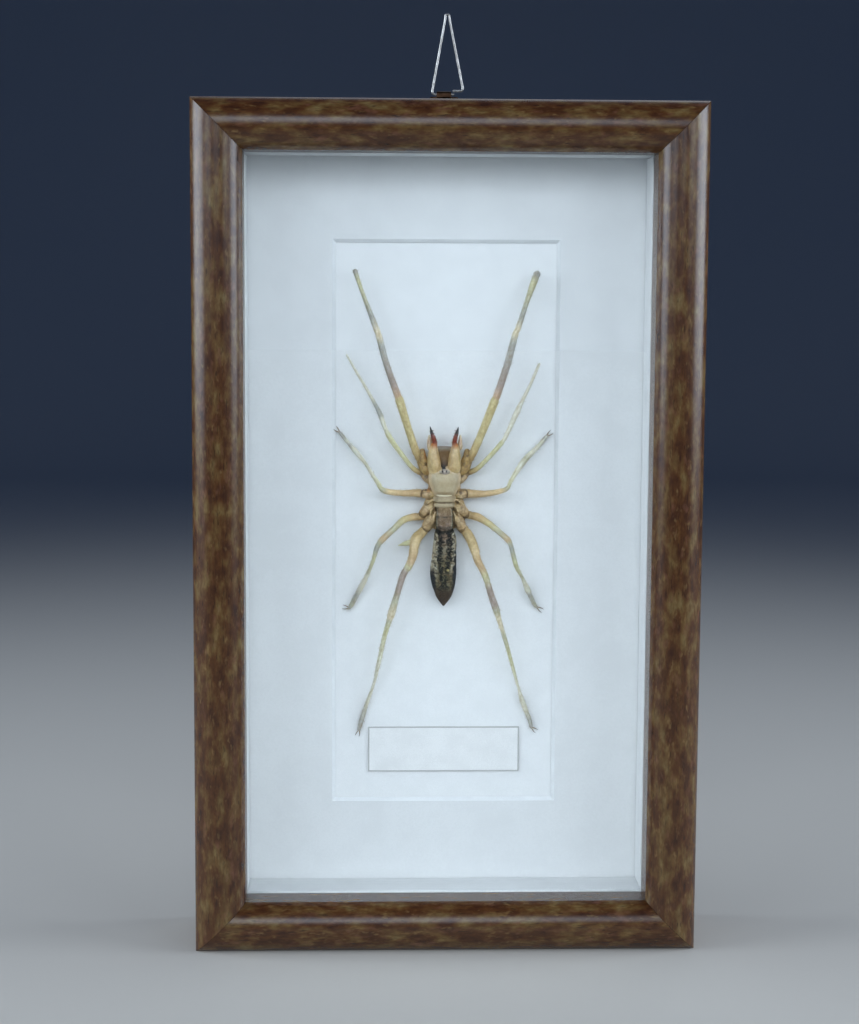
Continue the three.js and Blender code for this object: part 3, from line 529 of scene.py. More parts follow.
# %% Hardboard
hardboard, tree, surface = new_material("pressed_hardboard", {"Roughness": 0.7, "Specular IOR Level": 0.3})
spot = add_node(tree, "ShaderNodeTexCoord")
fibres = add_node(tree, "ShaderNodeTexNoise", {"Vector": spot.outputs["Object"], "Scale": 1400.0,
                                               "Detail": 6.0, "Roughness": 0.75})
stains = add_node(tree, "ShaderNodeTexNoise", {"Vector": spot.outputs["Object"], "Scale": 60.0,
                                               "Detail": 3.0})
mixed = add_node(tree, "ShaderNodeMath", {0: stains.outputs["Fac"], 1: 0.35, 2: fibres.outputs["Fac"]},
                 operation="MULTIPLY_ADD")
brown = add_node(tree, "ShaderNodeValToRGB", {"Fac": mixed.outputs[0]},
                 stops=[(0.48, "6b4d30"), (0.68, "86643f"), (0.88, "a17e54")])
tree.links.new(brown.outputs["Color"], surface.inputs["Base Color"])
SCREEN_PITCH = 1.4  # between the wires of the press's screen
screen = []
for direction in ("X", "Z"):
    screen.append(add_node(tree, "ShaderNodeTexWave", {"Vector": spot.outputs["Object"],
                                                       "Scale": 1000 / SCREEN_PITCH / math.pi},
                           bands_direction=direction))
weave = add_node(tree, "ShaderNodeMath", {0: screen[0].outputs["Fac"], 1: screen[1].outputs["Fac"]},
                 operation="MAXIMUM")
rough_back = add_node(tree, "ShaderNodeMath", {0: weave.outputs[0], 1: fibres.outputs["Fac"]},
                      operation="ADD")
bump = add_node(tree, "ShaderNodeBump", {"Height": rough_back.outputs[0], "Strength": 0.5,
                                         "Distance": 0.15 * MM})
tree.links.new(bump.outputs["Normal"], surface.inputs["Normal"])
finish_piece(board("hardboard_back", "back_board", 0.3), ["back_board"], hardboard)


# %% Steel finishes
def steel_material(name, colour, worn, roughness, streak):
    """Drawn or rolled steel: fine streaks about 0.3 mm apart, and patches where the finish has dulled."""
    material, tree, surface = new_material(name, {"Metallic": 1.0})
    spot = add_node(tree, "ShaderNodeTexCoord")
    streaks = add_node(tree, "ShaderNodeMapping", {"Vector": spot.outputs["Object"], "Scale": streak})
    lines = add_node(tree, "ShaderNodeTexNoise", {"Vector": streaks.outputs[0], "Scale": 1.0, "Detail": 3.0})
    patches = add_node(tree, "ShaderNodeTexNoise", {"Vector": spot.outputs["Object"], "Scale": 500.0,
                                                    "Detail": 3.0})
    tone = add_node(tree, "ShaderNodeValToRGB", {"Fac": patches.outputs["Fac"]},
                    stops=[(0.35, worn), (0.6, colour)])
    tree.links.new(tone.outputs["Color"], surface.inputs["Base Color"])
    dull = add_node(tree, "ShaderNodeMapRange", {"Value": lines.outputs["Fac"],
                                                 "To Min": roughness - 0.12, "To Max": roughness + 0.15})
    tree.links.new(dull.outputs[0], surface.inputs["Roughness"])
    bump = add_node(tree, "ShaderNodeBump", {"Height": lines.outputs["Fac"], "Strength": 0.3,
                                             "Distance": 0.02 * MM})
    tree.links.new(bump.outputs["Normal"], surface.inputs["Normal"])
    return material


zinc_steel = steel_material("zinc_plated_steel", "b9bcbe", "92969a", 0.42, (600, 600, 3000))
bronzed_steel = steel_material("bronzed_sheet_steel", "4a3526", "2c1f17", 0.45, (3000, 600, 500))
bright_wire = steel_material("bright_drawn_wire", "b0aeaa", "8c8984", 0.4, (3500, 3500, 400))

# %% [markdown]
# The six points are one stamped shape set in six places, so a node tree copies it: the rebate's wall
# gives a point for each, and an attribute says which way each one faces.

# %% Framer's points
stamp_tree, given = new_tree("set_in_places", {"Shape": "Object", "Material": "Material"})
shape_info = add_node(stamp_tree, "GeometryNodeObjectInfo", {"Object": given["Shape"]})
turn = add_node(stamp_tree, "GeometryNodeInputNamedAttribute", {"Name": "turn"}, data_type="FLOAT_VECTOR")
set_out = add_node(stamp_tree, "GeometryNodeInstanceOnPoints", {
    "Points": given["Geometry"], "Instance": shape_info.outputs["Geometry"],
    "Rotation": turn.outputs["Attribute"]})
end_tree(stamp_tree, set_out.outputs["Instances"], given["Material"])


def set_in_places(name, shape, places, turns, material):
    places_object = make_object(name, places, [])
    attribute = places_object.data.attributes.new("turn", "FLOAT_VECTOR", "POINT")
    attribute.data.foreach_set("vector", np.array(turns, float).ravel())
    run_tree(places_object, stamp_tree, {"Shape": shape, "Material": material})
    bpy.data.objects.remove(shape)
    return places_object


def prism_faces(count):
    """Both ends and the sides of a prism whose two outlines stand one after the other in its points."""
    ends = [tuple(range(count)), tuple(reversed(range(count, 2 * count)))]
    return ends + [(i, i + count, (i + 1) % count + count, (i + 1) % count) for i in range(count)]


POINT_HALF, POINT_BITE, POINT_REACH, POINT_THICK, TIP_HALF, TIP_CUT = 2.5, 2, 5, 0.5, 0.35, 0.15
point_outline = [(-POINT_HALF, -POINT_BITE), (POINT_HALF, -POINT_BITE), (POINT_HALF, POINT_REACH - POINT_HALF),
                 (TIP_HALF, POINT_REACH - TIP_CUT), (-TIP_HALF, POINT_REACH - TIP_CUT),
                 (-POINT_HALF, POINT_REACH - POINT_HALF)]
stamped = make_object("one_point", [(x, y, z) for y in (0, POINT_THICK) for x, z in point_outline],
                      prism_faces(len(point_outline)))
bevel = stamped.modifiers.new("sheared_edges", "BEVEL")
bevel.width, bevel.segments = 0.1 * MM, 2
POINT_NODES = [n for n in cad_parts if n.startswith("point_")]
places, turns = [], []
for node in POINT_NODES:
    low, high = node_box(node)
    middle = [(a + b) / 2 for a, b in zip(low, high)]
    if node in ("point_bottom", "point_top"):
        up = node == "point_bottom"
        places.append((0, low[1], low[2] + POINT_BITE if up else high[2] - POINT_BITE))
        turns.append((0, 0 if up else math.pi, 0))
    else:
        on_left = "left" in node
        places.append((low[0] + POINT_BITE if on_left else high[0] - POINT_BITE, low[1], middle[2]))
        turns.append((0, math.pi / 2 if on_left else -math.pi / 2, 0))
points_object = set_in_places("framers_points", stamped, places, turns, zinc_steel)
finish_piece(points_object, POINT_NODES)

# %% [markdown]
# ## Hanger
# A small plate of bronzed steel is screwed to the back, and its tongue is rolled round the wire
# ring. The plate and tongue are one strip of sheet: the plate is its rounded outline given the
# sheet's thickness, and the tongue's side view is drawn as a line round the eye, given the sheet's
# thickness and stretched across the eye's width.

# %% Hanger plate and eye
plate_low, plate_high = node_box("hanger_plate")
EYE_LEFT, EYE_RIGHT, EYE_RADIUS, SHEET = -3.0, 1.4, 0.95, 0.4
PIVOT_Y, PIVOT_Z = 19.15, 256.4
PLATE_TOP_Z, CORNER = 255.6, 1.0


def rounded_plate(x0, x1, z0, z1, radius, steps=5):
    points = []
    for cx, cz, start in ((x1 - radius, z1 - radius, 0), (x0 + radius, z1 - radius, 90),
                          (x0 + radius, z0 + radius, 180), (x1 - radius, z0 + radius, 270)):
        for step in range(steps + 1):
            a = math.radians(start + 90 * step / steps)
            points.append((cx + radius * math.cos(a), cz + radius * math.sin(a)))
    return points


plate_outline = rounded_plate(plate_low[0], plate_high[0], plate_low[2], PLATE_TOP_Z, CORNER)
plate_y = plate_low[1]
plate_points = [(x, y, z) for y in (plate_y, plate_y + SHEET) for x, z in plate_outline]
plate_faces = prism_faces(len(plate_outline))
# The tongue: up the front of the eye and 288 degrees round it
TONGUE_TURN, TONGUE_STEPS = 1.6 * math.pi, 33
inner = EYE_RADIUS - SHEET
turn_angles = [math.pi - a for a in np.linspace(0, TONGUE_TURN, TONGUE_STEPS)]
foot = PLATE_TOP_Z - PIVOT_Z - 1
outside = [(-EYE_RADIUS, foot)] + [(EYE_RADIUS * math.cos(a), EYE_RADIUS * math.sin(a)) for a in turn_angles]
inside = [(-inner, foot)] + [(inner * math.cos(a), inner * math.sin(a)) for a in turn_angles]
first = len(plate_points)
for x in (EYE_LEFT, EYE_RIGHT):
    plate_points += [(x, PIVOT_Y + y, PIVOT_Z + z) for y, z in outside + inside]
n = len(outside)
for side in (0, 1):
    base = first + side * 2 * n
    for i in range(n - 1):
        quad = (base + i, base + i + 1, base + n + i + 1, base + n + i)
        plate_faces.append(quad if side else quad[::-1])
for i in range(n - 1):
    plate_faces.append((first + i, first + i + 1, first + 2 * n + i + 1, first + 2 * n + i))
    plate_faces.append((first + n + i, first + 3 * n + i, first + 3 * n + i + 1, first + n + i + 1))
plate_faces.append((first + n - 1, first + 2 * n - 1, first + 4 * n - 1, first + 3 * n - 1))
plate_faces.append((first, first + 2 * n, first + 3 * n, first + n))
plate = make_object("hanger_plate_and_eye", plate_points, plate_faces)
face_outwards(plate)
bevel = plate.modifiers.new("tumbled_edges", "BEVEL")
bevel.width, bevel.segments, bevel.limit_method = 0.08 * MM, 2, "ANGLE"
finish_piece(plate, ["hanger_plate"], bronzed_steel)

# %% [markdown]
# Both screws are one round-headed wood screw with a slot, set in two places by the same tree that
# sets the points. The head is a half section spun round, with the slot cut through it.

# %% Screws
screw_low, screw_high = node_box("hanger_screw_left")
HEAD_RADIUS, HEAD_RISE, HEAD_EDGE, HEAD_STEPS = 1.3, 0.8, 0.05, 9
SHANK_RADIUS, TIP_LENGTH, TAPER_LENGTH = 0.6, 0.5, 1.4
under_head = screw_high[1] - HEAD_RISE
tip_y = screw_low[1] - under_head
half_section = [(0, tip_y), (SHANK_RADIUS * 0.5, tip_y + TIP_LENGTH), (SHANK_RADIUS, tip_y + TAPER_LENGTH),
                (SHANK_RADIUS, -0.01), (HEAD_RADIUS - HEAD_EDGE, 0), (HEAD_RADIUS, HEAD_EDGE)]
half_section += [(HEAD_RADIUS * math.cos(a), HEAD_EDGE + (HEAD_RISE - HEAD_EDGE) * math.sin(a))
                 for a in np.linspace(0, math.pi / 2, HEAD_STEPS)[1:]]
SPIN = 32
screw_points = [(r * math.cos(2 * math.pi * k / SPIN), y, r * math.sin(2 * math.pi * k / SPIN))
                for r, y in half_section[1:-1] for k in range(SPIN)]
rows = len(half_section) - 2
screw_faces = [(r * SPIN + k, r * SPIN + (k + 1) % SPIN, (r + 1) * SPIN + (k + 1) % SPIN, (r + 1) * SPIN + k)
               for r in range(rows - 1) for k in range(SPIN)]
screw_points += [(0, half_section[0][1], 0), (0, half_section[-1][1], 0)]
tip, crown = len(screw_points) - 2, len(screw_points) - 1
screw_faces += [(tip, (k + 1) % SPIN, k) for k in range(SPIN)]
screw_faces += [(crown, (rows - 1) * SPIN + k, (rows - 1) * SPIN + (k + 1) % SPIN) for k in range(SPIN)]
screw = make_object("one_screw", screw_points, screw_faces, sharp=40)
SLOT_HALF, SLOT_FLOOR, PAST_HEAD = 0.2, 0.45, 2
cutter = make_object("slot_cutter", [(x, y, z) for x in (-SLOT_HALF, SLOT_HALF) for y in (SLOT_FLOOR, PAST_HEAD)
                                     for z in (-PAST_HEAD, PAST_HEAD)], BOX_FACES)
for obj in (screw, cutter):
    face_outwards(obj)
slot_cut = screw.modifiers.new("slot", "BOOLEAN")
slot_cut.operation, slot_cut.object, slot_cut.solver = "DIFFERENCE", cutter, "EXACT"
screw_places = []
for node in ("hanger_screw_left", "hanger_screw_right"):
    low, high = node_box(node)
    screw_places.append(((low[0] + high[0]) / 2, under_head, (low[2] + high[2]) / 2))
SLOT_TURNS = [(0, 0.6, 0), (0, 1.9, 0)]
screws = set_in_places("hanger_screws", screw, screw_places, SLOT_TURNS, bronzed_steel)
bpy.data.objects.remove(cutter)
screws.data.set_sharp_from_angle(angle=math.radians(40))
finish_piece(screws, ["hanger_screw_left", "hanger_screw_right"])

# %% [markdown]
# The ring is one length of bright wire bent to a tall triangle, whose ends pass each other inside
# the eye. Its middle line is drawn with a bend at each corner, and a node tree gives it thickness.

# %% Wire ring
wire_tree, given = new_tree("wire_along_line", {"Radius": "Float", "Sides": "Int", "Material": "Material"})
wire_line = add_node(wire_tree, "GeometryNodeMeshToCurve", {"Mesh": given["Geometry"]})
wire_round = add_node(wire_tree, "GeometryNodeCurvePrimitiveCircle", {
    "Resolution": given["Sides"], "Radius": given["Radius"]})
wire = add_node(wire_tree, "GeometryNodeCurveToMesh", {
    "Curve": wire_line.outputs["Curve"], "Profile Curve": wire_round.outputs["Curve"], "Fill Caps": True})
end_tree(wire_tree, wire.outputs["Mesh"], given["Material"])

WIRE_RADIUS, BEND_STEPS = 0.37, 13
WIRE_CORNERS = [(2.3, 0, 0), (-4.5, 0, 1.3), (-0.6, 21.9, 0.8), (-0.4, 23.8, 0.4), (0.6, 23.8, 0.4),
                (0.85, 21.9, 0.8), (5.1, 1.05, 1.3), (1.9, 1.05, 0)]
wire_points = []
for i, (x, z, bend) in enumerate(WIRE_CORNERS):
    here_at = Vector((x, 0, z))
    if not bend:
        wire_points.append(here_at)
        continue
    before, after = (Vector((WIRE_CORNERS[j][0], 0, WIRE_CORNERS[j][1])) for j in (i - 1, i + 1))
    start = here_at + (before - here_at).normalized() * bend
    end = here_at + (after - here_at).normalized() * bend
    wire_points += [start.lerp(here_at, t).lerp(here_at.lerp(end, t), t)
                    for t in np.linspace(0, 1, BEND_STEPS)]
ring = make_object("wire_ring", [p + Vector((0, PIVOT_Y, PIVOT_Z)) for p in wire_points], [],
                   edges=[(i, i + 1) for i in range(len(wire_points) - 1)])
run_tree(ring, wire_tree, {"Radius": WIRE_RADIUS * MM, "Sides": 16, "Material": bright_wire})
ring.data.shade_smooth()
ring.data.set_sharp_from_angle(angle=math.radians(50))
finish_piece(ring, ["hanger_ring"], body="ring")
print("the ring is", round(2 * WIRE_RADIUS, 2), "mm wire")

# %% [markdown]
# ## The animal: how a limb is made
# A camel spider's limbs are tubes of thin dried shell, swollen and pinched along their length, with a
# darker or paler ring at each joint. Each is drawn as stations: place, height above the card, half
# width and half thickness. A smooth curve goes through them, rings are set along it, and every point
# is given its colour and its place along the limb, which the material reads.

# %% Colours of the dried animal
# Picked from the photo, with the cool tint of its light taken out, then set by comparing renders
def palette_of(colours):
    return {name: np.array(paint(value)[:3]) for name, value in colours.items()}


PALETTE = palette_of({
    "khaki": "c3aa78", "yellow_khaki": "c9ba88", "cream": "ddd1b4", "cream_warm": "dac193",
    "olive": "a48856", "tan": "c9ac7f", "brown": "7c6239", "dark_spot": "4c361e",
    "pale_green": "ccc99f", "grey_green": "b9b69c", "whitish": "dcd9c6", "mauve": "a3948a",
    "blue_grey": "a7a79f", "tip_grey": "aba9a0", "orange": "b8732e", "red_brown": "7a2d0e",
    "teal_black": "15191a", "shield": "b3a281", "beige": "c8af8a", "pinkish": "cbab8e",
    "golden": "b99a5f", "plate_brown": "93805e", "plate_light": "b0a080", "jaw_inside": "c3a676",
    "gap_brown": "73552a", "knob": "9a9180",
})


def banded(bands, at):
    """The colour at a place along the limb, between the named colours on each side of it."""
    places = [place for place, _ in bands]
    return np.array([np.interp(at, places, [PALETTE[name][c] for _, name in bands]) for c in range(3)])


# %% Limb builder
SPIDER_X, SPIDER_Z, CARD_FRONT = -0.4, 138.8, 11.3
PINCH_DEPTH, PINCH_REACH = 0.13, 0.35  # a joint's: share of the limb's width, and mm along it
CAP_TURNS = (0.4, 0.8, 1.15, 1.4)  # where a rounded end's rings are, in radians


def in_frame(x, z, height):
    """From the animal's own frame, whose middle is the middle of the head shield, to the picture frame's."""
    return Vector((SPIDER_X + x, CARD_FRONT - height, SPIDER_Z + z))


def between(rows, at):
    """Catmull-Rom through the stations, so that the limb has no kinks."""
    i = min(int(at), len(rows) - 2)
    t = at - i
    p0, p1, p2, p3 = (rows[max(0, min(len(rows) - 1, j))] for j in (i - 1, i, i + 1, i + 2))
    return 0.5 * (2 * p1 + (p2 - p0) * t + (2 * p0 - 5 * p1 + 4 * p2 - p3) * t * t
                  + (3 * p1 - p0 - 3 * p2 + p3) * t ** 3)


def limb(stations, colour, sides=20, spacing=0.45, joints=(), wrinkle=0.04, ends=(1.0, 1.0)):
    """Points, faces, colours, places along and directions of one closed limb."""
    rows = [np.array([*in_frame(x, z, h), w, (rest or [w])[0]]) for x, z, h, w, *rest in stations]
    at = [0.0]
    while at[-1] < len(rows) - 1:
        i = min(int(at[-1]), len(rows) - 2)
        span = np.linalg.norm(rows[i + 1][:3] - rows[i][:3])
        next_station = i + 1.0 if at[-1] < i + 0.999 else len(rows)
        at.append(min(at[-1] + spacing / max(span, spacing), len(rows) - 1, next_station))
    middles = [between(rows, a) for a in at]
    travelled = np.cumsum([0] + [np.linalg.norm(b[:3] - a[:3]) for a, b in zip(middles, middles[1:])])
    rings = []  # middle, half width, half thickness, station, distance along
    for k, (row, a) in enumerate(zip(middles, at)):
        past = [(travelled[k] - np.interp(j, at, travelled)) / PINCH_REACH for j in joints]
        pinch = 1 - sum(PINCH_DEPTH * math.exp(-away ** 2) for away in past)
        rings.append([Vector(row[:3]), max(row[3], 0.05) * pinch, max(row[4], 0.05) * pinch, a, travelled[k]])
    ways = [(rings[min(k + 1, len(rings) - 1)][0] - rings[max(k - 1, 0)][0]).normalized()
            for k in range(len(rings))]
    # Rounded ends: a few more rings that shrink as a quarter of an ellipse
    for last, way, roundness in ((False, -ways[0], ends[0]), (True, ways[-1], ends[1])):
        middle, wide, thick, a, run = rings[-1] if last else rings[0]
        cap = [[middle + way * min(wide, thick) * roundness * math.sin(q), wide * math.cos(q),
                thick * math.cos(q), a, run] for q in CAP_TURNS]
        if last:
            rings += cap
            ways += [ways[-1]] * len(cap)
        else:
            rings = cap[::-1] + rings
            ways = [ways[0]] * len(cap) + ways
    points, tints, places, aims = [], [], [], []
    for (middle, wide, thick, a, run), way in zip(rings, ways):
        side = way.cross(Vector((0, -1, 0))).normalized()
        up = side.cross(way).normalized()
        for s in range(sides):
            turn = 2 * math.pi * s / sides
            out = side * (wide * math.cos(turn)) + up * (thick * math.sin(turn))
            dent = wrinkle * noise.fractal(
                Vector((run * 0.9, math.cos(turn) * 2, math.sin(turn) * 2)) + middle * 0.05, 1.0, 2.0, 3)
            points.append(middle + out * (1 + dent / max(wide, 0.3)))
            tints.append(colour(a, math.cos(turn), math.sin(turn)))
            places.append((run, math.cos(turn), math.sin(turn)))
            aims.append(way)
    faces = [(k * sides + s, k * sides + (s + 1) % sides,
              (k + 1) * sides + (s + 1) % sides, (k + 1) * sides + s)
             for k in range(len(rings) - 1) for s in range(sides)]
    faces += [tuple(range(sides))[::-1], tuple((len(rings) - 1) * sides + s for s in range(sides))]
    return {"points": points, "faces": faces, "tints": tints, "places": places, "aims": aims}


def make_shell(name, parts, nodes, material, marks_and_glints=()):
    """Several closed forms as one piece, with their colours and directions as attributes.

    A mark is a spot of another colour, and some marks are painted highlights: its place, half width, half
    height, colour and strength.
    """
    points, faces = [], []
    for part in parts:
        first = len(points)
        points += part["points"]
        faces += [tuple(first + i for i in face) for face in part["faces"]]
    obj = make_object(name, points, faces, sharp=60)
    colours = np.array([c for part in parts for c in part["tints"]], float)
    spots = np.array([(p[0] - SPIDER_X, p[2] - SPIDER_Z) for p in points])
    for x, z, wide, tall, mark_colour, strength in marks_and_glints:
        ragged = np.array([0.35 * noise.noise(Vector((px * 1.7, 3.0, pz * 1.7))) for px, pz in spots])
        away = np.hypot((spots[:, 0] - x) / wide, (spots[:, 1] - z) / tall) + ragged
        mix = (np.clip((1.25 - away) / 0.5, 0, 1) * strength)[:, None]
        colours = colours * (1 - mix) + PALETTE[mark_colour] * mix
    tint = obj.data.attributes.new("tint", "FLOAT_COLOR", "POINT")
    tint.data.foreach_set("color", np.hstack([colours, np.ones((len(colours), 1))]).ravel())
    for label in ("places", "aims"):
        attribute = obj.data.attributes.new(label, "FLOAT_VECTOR", "POINT")
        attribute.data.foreach_set(
            "vector", np.array([tuple(v) for part in parts for v in part[label]], float).ravel())
    face_outwards(obj)
    return finish_piece(obj, nodes, material)


# %% [markdown]
# ## Dried cuticle
# A spider's shell is chitin: thin, hard and a little see-through, so light bleeds softly into it.
# Dried, it wrinkles finely and keeps a low gloss. The colour comes from the limb's own points, and
# the material adds mottling, the dark dots that hairs grow from, and the fine relief. On some shells it
# also darkens the creases of the wrinkles: painted shade.


# %% Cuticle materials
def cuticle_material(name, roughness, mottle, relief, glow=0.12, crease_shade=0.0, fold_size=1.6, gloss=0.5):
    """Sizes in mm. The dark net of wrinkles that soft skin dries into is painted shade in its creases."""
    material, tree, surface = new_material(name, {
        "Roughness": roughness, "IOR": 1.55, "Specular IOR Level": gloss, "Subsurface Weight": glow,
        "Subsurface Scale": 0.4 * MM, "Subsurface Radius": (1.0, 0.7, 0.45)})
    spot = add_node(tree, "ShaderNodeTexCoord")
    tint = add_node(tree, "ShaderNodeAttribute", attribute_name="tint")
    mottling = add_node(tree, "ShaderNodeTexNoise", {"Vector": spot.outputs["Object"], "Scale": 1000 / 0.9,
                                                     "Detail": 4.0, "Roughness": 0.65})
    # Real hair sockets are under 0.1 mm: drawn 0.45 mm apart so that they just show
    sockets = add_node(tree, "ShaderNodeTexVoronoi", {"Vector": spot.outputs["Object"], "Scale": 1000 / 0.45})
    # Streaks run along the limb: 3 mm long and about 0.5 mm wide
    places = add_node(tree, "ShaderNodeAttribute", attribute_name="places")
    laid = add_node(tree, "ShaderNodeMapping", {"Vector": places.outputs["Vector"], "Scale": (1 / 3, 2, 2)})
    streaks = add_node(tree, "ShaderNodeTexNoise", {"Vector": laid.outputs[0], "Scale": 1.0, "Detail": 3.0})
    bent = add_node(tree, "ShaderNodeVectorMath", {0: mottling.outputs["Color"], 1: (1.2 * MM,) * 3,
                                                   2: spot.outputs["Object"]}, operation="MULTIPLY_ADD")
    net = add_node(tree, "ShaderNodeTexVoronoi", {"Vector": bent.outputs["Vector"],
                                                  "Scale": 1000 / fold_size}, feature="DISTANCE_TO_EDGE")
    # The last row darkens the lines of the wrinkle net, where the creases are: painted shade.
    shades = [(mottling.outputs["Fac"], 0.3, 0.7, 1 - mottle, 1 + mottle * 0.5),
              (sockets.outputs["Distance"], 0.05, 0.22, 0.8, 1.0),
              (streaks.outputs["Fac"], 0.35, 0.65, 1 - mottle * 0.9, 1 + mottle * 0.3),
              (net.outputs["Distance"], 0.0, 0.12, 1 - crease_shade, 1.0)]
    depth = None
    for value, low, high, dark, light in shades:
        shade = add_node(tree, "ShaderNodeMapRange", {"Value": value, "From Min": low, "From Max": high,
                                                      "To Min": dark, "To Max": light})
        if depth is None:
            depth = shade.outputs[0]
        else:
            depth = add_node(tree, "ShaderNodeMath", {0: depth, 1: shade.outputs[0]},
                             operation="MULTIPLY").outputs[0]
    # A darker place is also a browner one: blue goes first, then green
    browned = add_node(tree, "ShaderNodeCombineXYZ", {
        axis: add_node(tree, "ShaderNodeMath", {0: depth, 1: power}, operation="POWER").outputs[0]
        for axis, power in (("X", 0.85), ("Y", 1.05), ("Z", 1.4))})
    stained = add_node(tree, "ShaderNodeVectorMath", {0: tint.outputs["Color"], 1: browned.outputs["Vector"]},
                       operation="MULTIPLY")
    tree.links.new(stained.outputs["Vector"], surface.inputs["Base Color"])
    height = add_node(tree, "ShaderNodeMath", {0: mottling.outputs["Fac"], 1: depth}, operation="ADD")
    bump = add_node(tree, "ShaderNodeBump", {"Height": height.outputs[0], "Strength": 0.6,
                                             "Distance": relief * MM})
    tree.links.new(bump.outputs["Normal"], surface.inputs["Normal"])
    return material


limb_cuticle = cuticle_material("dried_limb_cuticle", 0.45, 0.28, 0.08)
pale_cuticle = cuticle_material("translucent_limb_cuticle", 0.42, 0.2, 0.06, glow=0.2)
jaw_cuticle = cuticle_material("hard_jaw_cuticle", 0.32, 0.26, 0.06, glow=0.08)
shield_cuticle = cuticle_material("head_shield_cuticle", 0.42, 0.12, 0.05)
base_cuticle = cuticle_material("folded_base_cuticle", 0.5, 0.32, 0.14, crease_shade=0.4, fold_size=1.7)
tergite_cuticle = cuticle_material("dried_abdomen_cuticle", 0.6, 0.42, 0.16, glow=0.0, crease_shade=0.42,
                                   fold_size=1.3, gloss=0.2)

# %% [markdown]
# ## Legs and palps
# The front pair are palps, thick and blunt, then come four pairs of legs. Every limb leaves its base
# near the card, arches up over its knees and comes down to its tip, and the hindmost pair is longest.
# The stations are the CAD model's: the joints' pixels in the photo, carried to millimetres through the
# camera's place. The heights above the card are guessed from the shadows.

# %% Stations of the limbs
PEDIPALP = {
    "left": [[-3.6, 1.5, 3.2, 1.1], [-6.5, 6.5, 3.6, 1.2], [-8.5, 9.3, 4.4, 1.2],
             [-11.5, 18.0, 6.4, 1.15], [-13.9, 25.7, 7.6, 1.3], [-14.5, 27.3, 7.7, 1.1],
             [-17.8, 36.3, 7.6, 0.95], [-20.0, 44.4, 7.0, 0.95], [-20.6, 46.2, 6.8, 0.95],
             [-24.0, 54.9, 5.8, 0.65], [-26.2, 60.9, 5.1, 0.6], [-27.2, 63.9, 4.8, 0.8]],
    "right": [[3.8, 1.9, 3.2, 1.1], [6.6, 6.5, 3.6, 1.25], [8.4, 9.0, 4.4, 1.2], [11.8, 17.3, 6.4, 1.2],
              [14.8, 25.3, 7.6, 1.3], [15.5, 27.0, 7.7, 1.1], [18.6, 36.6, 7.6, 1.05],
              [20.9, 45.4, 7.0, 0.95], [21.7, 47.1, 6.8, 0.85], [24.3, 54.9, 5.8, 0.75],
              [26.3, 60.5, 5.1, 1.0], [27.4, 63.4, 4.8, 1.1]],
}
LEG_1 = {
    "left": [[-2.8, -0.6, 2.6, 0.9], [-6.2, 2.6, 2.8, 1.0], [-9.4, 4.5, 3.8, 0.75],
             [-12.6, 8.4, 5.2, 0.7], [-16.5, 13.8, 6.0, 0.8], [-18.4, 17.7, 6.0, 0.65],
             [-19.5, 20.9, 5.6, 0.75], [-21.4, 24.6, 5.0, 0.55], [-23.6, 28.5, 4.4, 0.45],
             [-26.7, 33.6, 3.8, 0.38], [-29.7, 38.8, 3.2, 0.3]],
    "right": [[2.8, -0.4, 2.6, 0.9], [6.4, 2.8, 2.8, 1.0], [9.7, 4.4, 3.8, 0.75], [13.5, 8.3, 5.2, 0.7],
              [16.8, 12.2, 6.0, 0.7], [18.5, 14.8, 6.0, 0.62], [22.2, 22.8, 5.0, 0.85],
              [23.1, 24.7, 4.8, 0.6], [26.0, 30.5, 4.0, 0.45], [28.5, 36.3, 3.2, 0.4]],
}
LEG_2 = {
    "left": [[-3.0, -3.6, 2.6, 1.1], [-6.0, -3.2, 3.0, 1.4], [-9.0, -2.9, 4.0, 1.15],
             [-13.0, -2.8, 5.4, 0.95], [-18.4, -1.9, 6.6, 0.85], [-20.4, 0.6, 6.2, 0.65],
             [-22.5, 3.7, 5.2, 0.55], [-24.0, 6.1, 4.2, 0.5], [-26.6, 9.2, 3.0, 0.8],
             [-28.7, 11.5, 2.0, 0.6], [-30.7, 13.9, 1.2, 0.55], [-31.9, 15.3, 0.9, 0.4]],
    "right": [[3.0, -3.6, 2.6, 1.1], [6.0, -3.1, 3.0, 1.5], [9.0, -3.1, 4.0, 1.2],
              [13.6, -2.8, 5.4, 0.92], [18.6, -1.4, 6.6, 0.7], [20.1, 1.1, 6.2, 0.58],
              [22.6, 4.9, 5.0, 0.85], [25.0, 7.9, 3.8, 0.9], [28.4, 11.0, 2.0, 0.65],
              [30.7, 13.7, 1.2, 0.6], [31.3, 14.4, 1.0, 0.45]],
}
LEG_3 = {
    "left": [[-3.6, -8.6, 2.6, 1.1], [-7.0, -10.1, 3.0, 1.3], [-9.7, -10.3, 4.0, 1.1],
             [-12.5, -11.1, 5.0, 1.0], [-15.5, -13.8, 6.0, 0.9], [-19.0, -17.0, 6.8, 0.95],
             [-20.5, -19.4, 6.6, 0.78], [-21.6, -23.3, 5.6, 0.58], [-23.0, -27.0, 4.4, 0.6],
             [-24.5, -30.4, 3.2, 0.8], [-26.6, -34.5, 1.8, 0.78], [-28.1, -37.6, 1.1, 0.68],
             [-28.9, -38.7, 0.9, 0.5]],
    "right": [[3.6, -8.4, 2.6, 1.1], [7.2, -9.6, 3.0, 1.2], [10.4, -10.3, 4.2, 1.2],
              [13.7, -12.2, 5.2, 0.97], [17.0, -14.8, 6.2, 0.88], [19.5, -17.1, 6.8, 0.88],
              [20.4, -19.1, 6.6, 0.7], [22.0, -25.0, 5.2, 0.7], [23.9, -28.6, 4.0, 0.5],
              [25.6, -32.2, 2.6, 0.88], [26.6, -34.4, 1.9, 0.75], [28.2, -37.7, 1.0, 0.6],
              [28.9, -38.5, 0.9, 0.45]],
}
